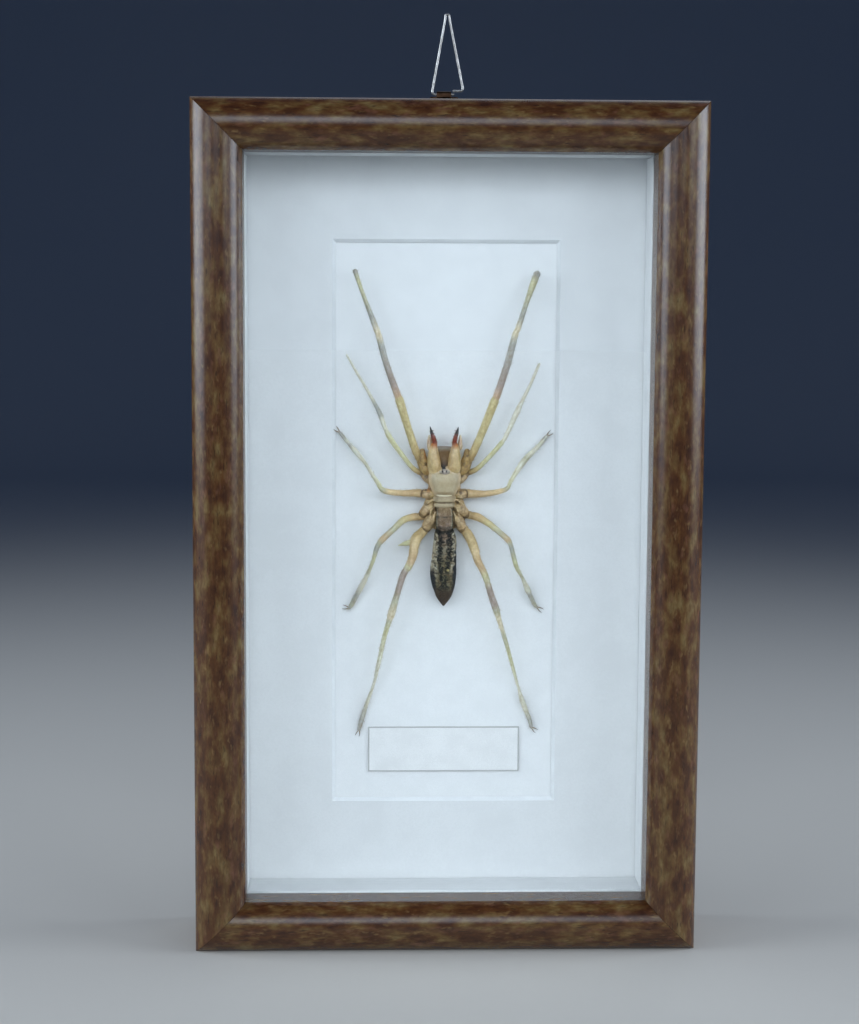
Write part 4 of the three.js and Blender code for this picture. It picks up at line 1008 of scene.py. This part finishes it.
LEG_4 = {
    "left": [[-1.6, -10.0, 2.4, 1.2], [-4.6, -12.9, 2.8, 1.45], [-6.7, -15.0, 3.6, 1.45],
             [-8.7, -17.3, 4.6, 1.65], [-9.6, -22.0, 5.8, 1.3], [-10.9, -25.1, 6.6, 1.15],
             [-12.6, -27.9, 7.0, 1.0], [-14.6, -34.5, 7.2, 0.95], [-16.1, -39.8, 7.0, 1.15],
             [-16.9, -42.4, 6.7, 0.8], [-18.3, -47.6, 5.8, 0.7], [-20.0, -56.0, 4.2, 0.62],
             [-21.4, -62.4, 2.6, 0.42], [-23.3, -68.0, 1.4, 0.55], [-25.0, -73.6, 0.95, 0.75],
             [-25.8, -76.8, 0.9, 0.55]],
    "right": [[1.6, -9.8, 2.4, 1.2], [4.8, -12.8, 2.8, 1.45], [7.6, -16.1, 4.0, 1.5],
              [9.2, -19.9, 5.2, 1.4], [10.2, -23.3, 6.2, 1.15], [12.4, -27.6, 7.0, 1.0],
              [14.3, -33.7, 7.2, 1.0], [15.9, -38.2, 7.0, 1.1], [16.9, -41.6, 6.7, 0.75],
              [19.0, -48.3, 5.8, 0.65], [21.4, -56.6, 4.0, 0.52], [23.4, -63.6, 2.4, 0.4],
              [24.4, -67.0, 1.7, 0.75], [25.7, -70.5, 1.2, 0.75], [27.0, -73.8, 0.95, 0.65],
              [27.6, -76.2, 0.9, 0.5]],
}

# %% Colours along the limbs
PALP_BANDS = [(0, "olive"), (1.6, "olive"), (2.1, "khaki"), (2.6, "yellow_khaki"), (4.2, "yellow_khaki"),
              (4.9, "pinkish"), (5.4, "mauve"), (6.6, "blue_grey"), (7.0, "cream"), (8.0, "cream"),
              (8.5, "blue_grey"), (9.0, "grey_green"), (10.0, "pale_green"), (10.8, "tip_grey"),
              (11, "tip_grey")]
LEG_1_BANDS = [(0, "olive"), (0.5, "beige"), (0.9, "brown"), (1.2, "dark_spot"), (1.5, "olive"),
               (2, "yellow_khaki"), (2.6, "pale_green"), (4.2, "pale_green"), (4.8, "whitish"),
               (5.6, "whitish")]
LEG_1_ENDS = {"left": [(6, "blue_grey"), (6.8, "blue_grey"), (7.3, "whitish"), (10, "whitish")],
              "right": [(9, "whitish")]}
LEG_2_BANDS = [(0, "tan"), (0.4, "dark_spot"), (0.7, "brown"), (1.1, "olive"), (1.6, "tan"), (3.0, "tan"),
               (3.7, "cream_warm"), (4.1, "grey_green"), (4.5, "pale_green"), (6, "whitish"),
               (6.9, "grey_green"), (7.4, "whitish"), (8.5, "whitish"), (9.0, "tip_grey"),
               (9.4, "whitish"), (10, "tip_grey"), (11, "tip_grey")]
LEG_3_BANDS = [(0, "olive"), (1, "tan"), (1.5, "olive"), (2, "tan"), (3, "yellow_khaki"),
               (4, "grey_green"), (4.9, "beige"), (5.4, "grey_green"), (6.1, "blue_grey"),
               (6.8, "pale_green"), (8, "grey_green"), (8.5, "whitish"), (9.4, "whitish"),
               (10, "tip_grey"), (11, "grey_green"), (12, "tip_grey")]
LEG_4_BANDS = [(0, "brown"), (0.5, "olive"), (1, "khaki"), (2.6, "khaki"), (3.4, "cream_warm"),
               (4, "tan"), (4.7, "beige"), (5.1, "pale_green"), (5.7, "mauve"), (6.6, "mauve"),
               (7.2, "grey_green"), (7.8, "cream"), (8.4, "cream"), (8.8, "grey_green"),
               (9.6, "pale_green"), (11, "whitish"), (13, "whitish"), (14, "tip_grey"), (15, "tip_grey")]


def along_bands(bands):
    return lambda at, across, up: banded(bands, at)


# %% Claws and limbs
# Along a claw: reach from the leg's tip, bend to the side in radians, rise and half width
CLAW_STATIONS = ((-0.3, 0.42, 0, 0.17), (0.7, 0.46, 0.25, 0.16), (1.5, 0.38, 0.3, 0.11), (2.2, 0.27, 0, 0.05))
CLAW_WAYS = {"leg_2": {"left": (-0.7, 0.7), "right": (0.75, 0.65)},
             "leg_3": {"left": (-1, 0.15), "right": (0.85, -0.55)},
             "leg_4": {"left": (-0.3, -1), "right": (0.85, -0.65)}}


def claws(stations, way):
    """Two curved claws that leave the tip a little apart and turn in again."""
    x, z, height = stations[-1][:3]
    heading = math.atan2(way[1], way[0])
    made = []
    for side in (-1, 1):
        path = []
        for reach, bend, rise, thick in CLAW_STATIONS:
            a = heading + side * bend
            path.append([x + reach * math.cos(a), z + reach * math.sin(a), height + rise, thick])
        made.append(limb(path, along_bands([(0, "beige"), (1.2, "brown"), (3, "dark_spot")]), sides=8,
                         spacing=0.25, wrinkle=0))
    return made


LEFT_FLAP = [[-8.7, -17.6, 4.8, 1.0, 0.5], [-11.4, -18.2, 4.8, 0.8, 0.4], [-14.0, -18.9, 4.6, 0.12, 0.12]]
limb_pieces = []
for side in ("left", "right"):
    palp = limb(PEDIPALP[side], along_bands(PALP_BANDS), joints=(1.9, 4.6, 7.6, 10.7))
    limb_pieces.append(make_shell(f"palp_{side}", [palp], [f"pedipalp_{side}"], limb_cuticle))
    for name, stations, bands, joints, cuticle in (
            ("leg_1", LEG_1, LEG_1_BANDS + LEG_1_ENDS[side], (1.3, 4.6, 6.6), pale_cuticle),
            ("leg_2", LEG_2, LEG_2_BANDS, (1.3, 4.4, 7.8, 9.2), pale_cuticle),
            ("leg_3", LEG_3, LEG_3_BANDS, (1.4, 5.5, 8.6, 10.0), pale_cuticle),
            ("leg_4", LEG_4, LEG_4_BANDS, (1.6, 3.5, 5.4, 8.5, 13.3), limb_cuticle)):
        parts = [limb(stations[side], along_bands(bands), joints=joints)]
        if name in CLAW_WAYS:
            parts += claws(stations[side], CLAW_WAYS[name][side])
        if name == "leg_4" and side == "left":
            parts.append(limb(LEFT_FLAP, along_bands([(0, "khaki"), (1, "pale_green"), (2, "pale_green")])))
        limb_pieces.append(make_shell(f"{name}_shell_{side}", parts, [f"{name}_{side}"], cuticle))

# %% [markdown]
# ## Head, middle and jaws
# The head shield is a low dome with the eye knob at its front edge. Behind it come two narrow free
# plates, and under them the swollen bases of the legs lie side by side. The two jaws are large bulbs
# that end in a fixed finger above and a moving finger below, dark and toothed.

# %% Head shield, plates and leg bases
SHIELD = [[0, 4.3, 5.6, 2.0, 1.6], [0, 3.7, 5.6, 4.5, 2.3], [0, 1.6, 5.6, 4.9, 3.0],
          [0, -0.6, 5.5, 4.4, 3.0], [0, -2.4, 5.3, 3.7, 2.8], [0, -3.4, 5.1, 3.2, 2.2]]
SECOND_PLATE = [[0, -3.5, 5.2, 3.2, 2.4], [0, -4.3, 5.2, 3.5, 2.7], [0, -5.1, 5.1, 3.4, 2.6],
                [0, -5.5, 5.0, 3.1, 2.2]]
THIRD_PLATE = [[0, -5.6, 5.0, 3.2, 2.4], [0, -6.4, 5.0, 3.3, 2.6], [0, -7.1, 4.9, 3.0, 2.3]]
LEG_BASES = [[0, 6.4, 2.6, 4.2, 1.4], [0, 4.0, 2.8, 5.0, 2.3], [0, 0, 2.8, 4.9, 2.4],
             [0, -2.8, 2.8, 5.2, 2.4], [0, -5.4, 2.8, 5.9, 2.2], [0, -8.0, 2.8, 6.8, 2.0],
             [0, -10.4, 2.7, 6.7, 1.8], [0, -12.6, 2.5, 5.2, 1.6], [0, -14.2, 2.3, 2.6, 1.1]]
BASE_BULGES = [  # the palp's, then one per leg, on each side: inner end, middle, outer end
    [[2.4, 1.6, 3.8, 1.3], [5.6, 4.4, 3.9, 1.7], [7.2, 6.4, 3.8, 1.2]],
    [[5.2, 4.6, 3.8, 1.1], [6.5, 7.2, 4.3, 1.35], [6.8, 9.8, 4.0, 0.9]],
    [[2.2, -0.2, 3.6, 1.1], [5.0, 1.4, 3.7, 1.3], [6.4, 2.6, 3.4, 1.0]],
    [[2.2, -3.2, 3.8, 1.3], [4.8, -3.2, 4.2, 1.5], [6.4, -3.1, 3.8, 1.3]],
    [[2.4, -6.2, 3.8, 1.3], [4.8, -7.4, 4.2, 1.7], [6.6, -9.4, 3.6, 1.3]],
    [[2.2, -9.0, 3.6, 1.4], [4.3, -11.2, 4.0, 1.7], [5.6, -13.8, 3.6, 1.4]],
]
RIDGES = [  # thin pale folds over the bases
    [[2.9, -4.6, 6.2, 0.25], [4.4, -5.2, 5.9, 0.3], [5.6, -6.6, 5.3, 0.25]],
    [[3.0, -6.6, 6.0, 0.25], [4.0, -7.9, 5.9, 0.3], [4.4, -9.6, 5.5, 0.25]],
    [[2.8, -8.6, 6.0, 0.22], [3.3, -10.2, 5.9, 0.3], [3.2, -12.2, 5.3, 0.22]],
]


def shield_colour(at, across, up):
    centre = banded([(0, "beige"), (0.8, "beige"), (1.3, "shield"), (2.8, "shield"), (3.7, "plate_light"),
                     (4.3, "plate_brown"), (5, "brown")], at)
    mix = np.clip((abs(across) - np.interp(at, [1, 2.5, 4], [0.66, 0.74, 0.6])) / 0.26, 0, 1)
    rim = 0.12 * math.exp(-((abs(across) - 0.76) / 0.07) ** 2)
    return (centre * (1 - mix) + PALETTE["beige"] * mix) * (1 - rim)


def notched_colour(at, across, up):
    plate = banded([(0, "plate_brown"), (0.9, "plate_light"), (1.4, "plate_brown"), (2, "brown")], at)
    notch = 0.75 * np.clip(math.cos(across * 21) * 2, 0, 1) * np.clip((at - 1.2) / 0.3, 0, 1)
    return plate * (1 - notch)


base_colour = along_bands([(0, "gap_brown"), (1, "beige"), (3, "tan"), (5, "khaki"), (8, "olive")])
bulge_colour = along_bands([(0, "olive"), (0.6, "khaki"), (1.2, "beige"), (1.7, "tan"), (2, "brown")])
golden_colour = along_bands([(0, "olive"), (0.8, "golden"), (1.4, "golden"), (2, "olive")])
ridge_colour = along_bands([(0, "beige"), (1, "cream_warm"), (2, "beige")])
shield_parts = [
    limb(SHIELD, shield_colour, sides=64, spacing=0.2, wrinkle=0.04),
    limb(SECOND_PLATE, along_bands([(0, "plate_brown"), (1.2, "plate_light"), (2.2, "plate_brown"),
                                    (3, "brown")]), sides=48, spacing=0.2),
    limb(THIRD_PLATE, notched_colour, sides=64, spacing=0.15),
    # The pale hem behind the shield
    limb([[-2.2, -3.15, 7.0, 0.3], [-1.0, -3.3, 7.5, 0.36], [0.9, -3.3, 7.5, 0.36], [2.0, -3.15, 7.0, 0.3]],
         along_bands([(0, "cream"), (3, "cream")]), sides=16, spacing=0.3),
    # The eye knob, and the brown lip that shows between the jaws
    limb([[-1.7, 3.8, 7.6, 0.5, 0.4], [-0.1, 4.0, 8.2, 0.8, 0.65], [1.5, 3.8, 7.6, 0.5, 0.4]],
         along_bands([(0, "cream_warm"), (0.3, "knob"), (1, "mauve"), (1.7, "knob"), (2, "cream_warm")]),
         sides=24, spacing=0.15),
    limb([[-0.2, 4.4, 6.3, 1.0, 1.0], [-0.25, 5.6, 5.6, 1.3, 1.0], [-0.2, 7.8, 4.4, 2.4, 1.2],
          [-0.2, 9.9, 3.2, 3.1, 1.1], [-0.2, 11.0, 2.6, 2.9, 0.7]],
         along_bands([(0, "teal_black"), (0.6, "teal_black"), (1.0, "dark_spot"), (1.7, "gap_brown"),
                      (2.6, "gap_brown"), (3.2, "knob"), (4, "mauve")]),
         sides=32, spacing=0.2, ends=(1.0, 0.4))]
# The three small cream spots on the eye knob are painted highlights: glints of light on its glossy eyes. The
# pale spots beside the knob and the brown and dark ones are the shield's own colours.
SHIELD_MARKS_AND_GLINTS = [(-2.6, 3.9, 0.8, 0.4, "cream", 0.6), (2.6, 3.9, 0.8, 0.4, "cream", 0.6),
                (-1.3, 4.3, 0.22, 0.22, "cream", 0.7), (1.1, 4.3, 0.22, 0.22, "cream", 0.7),
                (-0.1, 4.0, 0.18, 0.25, "cream", 0.7),
                (0, -2.5, 2.4, 0.35, "brown", 0.5), (0, -5.45, 3.0, 0.22, "dark_spot", 0.7),
                (-2.4, -4.4, 0.5, 0.9, "brown", 0.5), (2.6, -4.4, 0.5, 0.9, "brown", 0.5)]
make_shell("head_shield", shield_parts, ["prosoma"], shield_cuticle, marks_and_glints=SHIELD_MARKS_AND_GLINTS)

# %% Leg bases
base_parts = [limb(LEG_BASES, base_colour, sides=48, spacing=0.35, wrinkle=0.14)]
for side in (-1, 1):
    for number, bulge in enumerate(BASE_BULGES):
        colour = golden_colour if number < 2 else bulge_colour
        base_parts.append(limb([[side * x, *rest] for x, *rest in bulge], colour, sides=28, spacing=0.22,
                               wrinkle=0.13))
    for ridge in RIDGES:
        base_parts.append(limb([[side * x, *rest] for x, *rest in ridge], ridge_colour, sides=10,
                               spacing=0.25))
# Place, half width, half height, colour and strength of the dark and rusty spots that the photo shows
BASE_MARKS = [
    (-6.0, 8.4, 0.35, 1.3, "orange", 0.6), (-5.7, 6.0, 0.5, 0.6, "dark_spot", 0.7),
    (-7.4, 7.6, 0.3, 0.8, "brown", 0.6), (6.9, 8.6, 0.5, 0.35, "dark_spot", 0.7),
    (5.9, 6.2, 0.5, 0.5, "dark_spot", 0.7), (7.6, 7.0, 0.4, 0.9, "brown", 0.5),
    (-5.4, 2.2, 0.9, 0.5, "dark_spot", 0.7), (5.2, 2.4, 0.9, 0.4, "dark_spot", 0.7),
    (-4.9, -2.1, 0.6, 0.7, "orange", 0.55), (-5.7, -1.9, 0.35, 0.4, "dark_spot", 0.9),
    (-4.0, -1.6, 0.4, 0.8, "brown", 0.6), (3.7, -2.2, 0.4, 0.9, "dark_spot", 0.7),
    (4.9, -2.6, 0.5, 0.6, "dark_spot", 0.8), (5.8, -1.9, 0.3, 0.5, "brown", 0.7),
    (-5.2, -6.4, 0.6, 0.5, "brown", 0.6), (-5.0, -9.4, 0.5, 0.9, "brown", 0.6),
    (-3.4, -7.2, 0.3, 1.2, "brown", 0.6), (4.0, -5.6, 0.5, 0.5, "dark_spot", 0.7),
    (5.2, -7.2, 0.5, 0.6, "brown", 0.7), (3.2, -8.4, 0.3, 1.3, "brown", 0.6),
    (-3.0, -12.6, 0.5, 1.2, "brown", 0.7), (3.2, -12.4, 0.5, 1.2, "brown", 0.7),
    (0, 5.8, 1.6, 1.2, "gap_brown", 0.8),
]
make_shell("leg_bases", base_parts, ["prosoma"], base_cuticle, marks_and_glints=BASE_MARKS)

# %% Eyes
eye_glaze, tree, surface = new_material("black_eye_lens", {"Roughness": 0.05, "IOR": 1.5, "Coat Weight": 0.5})
spot = add_node(tree, "ShaderNodeTexCoord")
deep = add_node(tree, "ShaderNodeTexNoise", {"Vector": spot.outputs["Object"], "Scale": 3000.0})
lens = add_node(tree, "ShaderNodeValToRGB", {"Fac": deep.outputs["Fac"]},
                stops=[(0.3, "0c0a0a"), (0.7, "1d1512")])
tree.links.new(lens.outputs["Color"], surface.inputs["Base Color"])
LENS_PLACES, LENS_Z, LENS_HEIGHT, LENS_RADIUS, LENS_HALF = (-0.65, 0.45), 4.1, 8.55, 0.36, 0.05
eye_parts = [limb([[x + way * LENS_HALF, LENS_Z, LENS_HEIGHT, LENS_RADIUS] for way in (-1, 1)],
                  along_bands([(0, "teal_black")]), sides=20, spacing=0.05, wrinkle=0) for x in LENS_PLACES]
make_shell("eyes", eye_parts, ["prosoma"], eye_glaze)

# %% Jaws
CHELICERA = {
    "left": [[-2.7, 3.9, 5.3, 2.0, 2.2], [-3.1, 5.2, 5.4, 2.1, 2.6], [-3.4, 8.0, 5.4, 1.9, 2.5],
             [-3.4, 10.4, 5.5, 1.4, 1.9], [-3.3, 11.8, 5.7, 1.0, 1.2], [-3.1, 12.6, 5.9, 0.75],
             [-3.5, 14.2, 6.1, 0.62], [-4.1, 15.8, 6.0, 0.45], [-4.5, 17.4, 5.6, 0.12]],
    "right": [[2.4, 3.9, 5.3, 2.0, 2.2], [2.8, 5.2, 5.4, 2.1, 2.6], [3.0, 8.0, 5.4, 1.9, 2.5],
              [3.1, 10.4, 5.5, 1.4, 1.9], [3.1, 11.8, 5.7, 0.95, 1.2], [2.9, 12.6, 5.9, 0.7],
              [3.2, 14.2, 6.1, 0.6], [3.7, 15.8, 6.0, 0.42], [4.0, 17.3, 5.6, 0.12]],
}
LOWER_FINGER = {
    "left": [[-3.4, 9.0, 4.2, 0.8], [-3.4, 12.6, 3.6, 0.7], [-3.9, 15.0, 4.0, 0.45], [-4.3, 16.6, 4.7, 0.12]],
    "right": [[3.1, 9.0, 4.2, 0.8], [3.0, 12.6, 3.6, 0.7], [3.4, 15.0, 4.0, 0.45], [3.8, 16.6, 4.7, 0.12]],
}
FANG_BANDS = [(4.2, "orange"), (5.2, "red_brown"), (6.3, "red_brown"), (6.8, "teal_black"), (8, "teal_black")]
JAW_BANDS = [(0, "cream_warm"), (0.8, "khaki"), (2.4, "khaki"), (3.2, "cream_warm")] + FANG_BANDS
JAW_INSIDE = [(0, "cream_warm"), (0.6, "jaw_inside"), (2.4, "jaw_inside"), (3.2, "beige")] + FANG_BANDS
FINGER_BANDS = [(0, "pinkish"), (0.8, "pinkish"), (1.2, "orange"), (1.8, "red_brown"),
                (2.3, "teal_black"), (3, "teal_black")]


def jaw_colour(inwards):
    def colour(at, across, up):
        mix = np.clip(0.5 + 0.9 * across * inwards, 0, 1)
        return banded(JAW_BANDS, at) * (1 - mix) + banded(JAW_INSIDE, at) * mix
    return colour


def teeth(stations, first, last, count, inwards):
    """Short cones along the inner edge of a finger."""
    rows = [np.array(row[:3]) for row in stations]
    made = []
    for at in np.linspace(first, last, count):
        i = int(at)
        x, z, height = rows[i] + (rows[i + 1] - rows[i]) * (at - i)
        made.append(limb([[x, z, height - 0.1, 0.22], [x + 0.55 * inwards, z + 0.12, height - 0.5, 0.13],
                          [x + 0.85 * inwards, z + 0.2, height - 0.6, 0.04]],
                         along_bands([(0, "red_brown"), (2, "teal_black")]), sides=8, spacing=0.2, wrinkle=0))
    return made


for side, inwards in (("left", 1), ("right", -1)):
    jaw_parts = [limb(CHELICERA[side], jaw_colour(inwards), sides=36, spacing=0.3),
                 limb(LOWER_FINGER[side], along_bands(FINGER_BANDS), sides=16, spacing=0.3)]
    jaw_parts += teeth(CHELICERA[side], first=5.0, last=7.2, count=5, inwards=inwards)
    # The pale soft lobe beside the fingers
    jaw_parts.append(limb([[-4.6 * inwards, 11.0, 5.0, 0.75], [-4.7 * inwards, 13.0, 4.8, 0.6],
                           [-4.75 * inwards, 14.6, 4.6, 0.3]],
                          along_bands([(0, "beige"), (1, "pinkish"), (2, "cream")]), sides=16, spacing=0.3))
    limb_pieces.append(make_shell(f"jaw_{side}", jaw_parts, [f"chelicera_{side}"], jaw_cuticle))

# %% [markdown]
# ## Abdomen
# A soft bag under ten overlapping plates. Its colours follow a plan, so a function paints it: two
# scalloped dark stripes along the back, grey flanks with small marks, a dark margin and tip.

# %% Abdomen
ABDOMEN = [[0, -6.9, 6.3, 2.2, 1.0], [0, -9.4, 6.3, 2.5, 1.6], [0, -12.4, 5.8, 2.6, 2.0],
           [0, -13.4, 5.4, 2.5, 2.1], [0.1, -15.2, 4.8, 3.1, 2.6], [0.3, -17.4, 4.3, 3.5, 3.0],
           [0.1, -20.2, 4.1, 3.6, 3.1], [0, -23.3, 4.0, 3.8, 3.1], [-0.2, -27.2, 3.8, 4.0, 3.0],
           [-0.1, -30.2, 3.6, 3.7, 2.8], [0, -32.4, 3.4, 3.2, 2.5], [0, -34.8, 3.2, 2.3, 1.8],
           [0, -36.4, 3.0, 1.3, 1.1], [0, -37.4, 2.9, 0.4, 0.4]]
BACK = palette_of({
    "front": "998467", "mauve": "8a786c", "umber": "7b7360", "olive": "6a664c", "stripe": "15160a",
    "flank": "bcb6a2", "mark": "2e2b20", "margin": "171d22", "tan": "7f7250", "tip": "43331f",
    "dot": "cdbf86",
})
STATION_Z = [row[1] for row in ABDOMEN][::-1]
STATION_WIDE = [row[3] for row in ABDOMEN][::-1]
PLATE_LENGTH = 2.9


def blend_in(colour, name, amount):
    return colour * (1 - amount) + BACK[name] * amount


def soft_step(value, edge, softness):
    return float(np.clip((value - edge) / softness + 0.5, 0, 1))


def abdomen_colour(at, across, up):
    i = min(int(at), len(ABDOMEN) - 2)
    z = ABDOMEN[i][1] + (ABDOMEN[i + 1][1] - ABDOMEN[i][1]) * (at - i)
    wide = np.interp(z, STATION_Z, STATION_WIDE)
    x = across * wide
    plate = ((-z - 7.0) / PLATE_LENGTH) % 1.0  # 0 at the front of a plate, 1 at its back edge
    colour = blend_in(BACK["front"], "mauve", soft_step(-z, 9.5, 4))
    colour = blend_in(colour, "umber", soft_step(-z, 17.5, 4))
    colour = blend_in(colour, "olive", soft_step(-z, 22.5, 4))
    side = 1 if x > 0 else -1
    flank = soft_step(abs(x), 2.05, 0.4)
    colour = blend_in(colour, "flank", flank * (1 - soft_step(-z, 28.5, 4)))
    colour = blend_in(colour, "tan", 0.6 * flank * soft_step(-z, 26.5, 2) * (1 - soft_step(-z, 30, 2)))
    wave = noise.noise(Vector((x * 0.9, z * 0.9, 5.3)))
    lobe = math.sin(plate * math.pi)
    # The two stripes: broad and scalloped, then narrow, then one
    middle = np.interp(-z, [12, 14.5, 22, 26, 30], [1.7, 1.35, 1.4, 0.95, 0.45])
    half = np.interp(-z, [12, 14, 22.5, 24, 30, 32], [0.5, 0.8, 0.85, 0.72, 0.6, 1.2]) * (0.45 + 0.85 * lobe)
    fine = noise.noise(Vector((x * 2.0, z * 2.0, 9.3)))
    stripe = 1 - soft_step(abs(abs(x) - middle) + wave * 0.6 + fine * 0.5, half, 0.2)
    stripe *= soft_step(-z, 13.2, 0.8)
    stripe *= 1 - 0.7 * soft_step(fine, 0.22, 0.15)
    # Marks on the flanks, one or two to a plate
    mark = soft_step(noise.noise(Vector((x * 1.5 + side * 9, z * 1.9, 2.3))), 0.2, 0.15) * flank
    colour = blend_in(colour, "mark", 0.85 * mark)
    colour = blend_in(colour, "front", 0.6 * soft_step(-fine, 0.12, 0.2) * (1 - flank))
    colour = blend_in(colour, "mark", 0.75 * soft_step(plate, 0.84, 0.1) * float(np.clip(0.7 + wave, 0, 1)))
    # A dark band crosses the back where the broad part starts, and the front plates have dark sides
    colour = blend_in(colour, "mark", 1 - soft_step(abs(z + 13.6 + wave * 0.8), 0.75, 0.5))
    dark_side = 0.55 * soft_step(abs(across) + wave * 0.2, 0.86, 0.12)
    colour = blend_in(colour, "mark", dark_side * (1 - soft_step(-z, 13.5, 2)))
    margin_from = 19.5 if side < 0 else 26.5
    margin_edge = 0.86 - 0.12 * soft_step(-z, 23.5, 2)
    margin = soft_step(abs(across) + wave * 0.16 + lobe * 0.1 - 0.05, margin_edge, 0.08)
    margin *= soft_step(-z, margin_from, 2.5)
    colour = blend_in(colour, "margin", margin)
    colour = blend_in(colour, "stripe", stripe)
    colour = blend_in(colour, "tip", soft_step(-z, 32.3, 2.5))
    dot = 1 - soft_step(math.hypot(x + 1.3, z + 26.0), 0.35, 0.2)
    return blend_in(colour, "dot", dot)


abdomen_part = limb(ABDOMEN, abdomen_colour, sides=72, spacing=0.16, wrinkle=0.08)
make_shell("abdomen_plates", [abdomen_part], ["abdomen"], tergite_cuticle)

# %% [markdown]
# ## Hairs
# The limbs and jaws are clothed in fine pale hairs. A node tree scatters points over a copy of their
# shells, stands a thin three-sided spike on each, leans it towards the limb's tip and varies its
# length. The seed is fixed, so the coat is the same at every run.

# %% Hair tree
hair_tree, given = new_tree("coat_of_hairs", {
    "Density": "Float", "Length": "Float", "Radius": "Float", "Lean": "Float", "Seed": "Int",
    "Material": "Material"})
scatter = add_node(hair_tree, "GeometryNodeDistributePointsOnFaces", {
    "Mesh": given["Geometry"], "Density": given["Density"], "Seed": given["Seed"]})
aim = add_node(hair_tree, "GeometryNodeInputNamedAttribute", {"Name": "aims"}, data_type="FLOAT_VECTOR")
leaned = add_node(hair_tree, "ShaderNodeVectorMath", {0: aim.outputs["Attribute"], "Scale": given["Lean"]},
                  operation="SCALE")
loose = add_node(hair_tree, "FunctionNodeRandomValue", {0: (-0.35, -0.35, -0.35), 1: (0.35, 0.35, 0.35),
                                                        "Seed": given["Seed"]}, data_type="FLOAT_VECTOR")
stood = add_node(hair_tree, "ShaderNodeVectorMath", {0: scatter.outputs["Normal"],
                                                     1: leaned.outputs["Vector"]})
stray = add_node(hair_tree, "ShaderNodeVectorMath", {0: stood.outputs["Vector"], 1: loose.outputs["Value"]})
facing = add_node(hair_tree, "FunctionNodeAlignRotationToVector", {"Vector": stray.outputs["Vector"]},
                  axis="Z")
spike = add_node(hair_tree, "GeometryNodeMeshCone", {"Vertices": 3, "Radius Bottom": given["Radius"],
                                                     "Depth": given["Length"]}, fill_type="NONE")
size = add_node(hair_tree, "FunctionNodeRandomValue", {2: 0.45, 3: 1.0, "Seed": given["Seed"]},
                data_type="FLOAT")
planted = add_node(hair_tree, "GeometryNodeInstanceOnPoints", {
    "Points": scatter.outputs["Points"], "Instance": spike.outputs["Mesh"],
    "Rotation": facing.outputs["Rotation"], "Scale": size.outputs[1]})
end_tree(hair_tree, planted.outputs["Instances"], given["Material"])

# %% Hair material and coat
hair, tree, surface = new_material("pale_spider_hair", {"Roughness": 0.45, "IOR": 1.55})
spot = add_node(tree, "ShaderNodeTexCoord")
tone = add_node(tree, "ShaderNodeTexNoise", {"Vector": spot.outputs["Object"], "Scale": 400.0})
hair_colour = add_node(tree, "ShaderNodeValToRGB", {"Fac": tone.outputs["Fac"]},
                       stops=[(0.35, "8f7c58"), (0.65, "c9bc9a")])
tree.links.new(hair_colour.outputs["Color"], surface.inputs["Base Color"])

coat_parts = []
for obj in limb_pieces:
    copy = obj.copy()
    copy.data = obj.data.copy()
    copy.parent = None
    bpy.context.collection.objects.link(copy)
    coat_parts.append(copy)
bpy.context.view_layer.update()
with bpy.context.temp_override(active_object=coat_parts[0], selected_editable_objects=coat_parts):
    bpy.ops.object.join()
coat = coat_parts[0]
coat.name = "spider_hairs"
for key in list(coat.keys()):
    if key.startswith("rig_"):
        del coat[key]
run_tree(coat, hair_tree, {"Density": 1.6e6, "Length": 1.3 * MM, "Radius": 0.035 * MM, "Lean": 1.1, "Seed": 11,
                           "Material": hair})
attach(coat, "frame")
print("the coat has", len(coat.data.polygons), "faces")
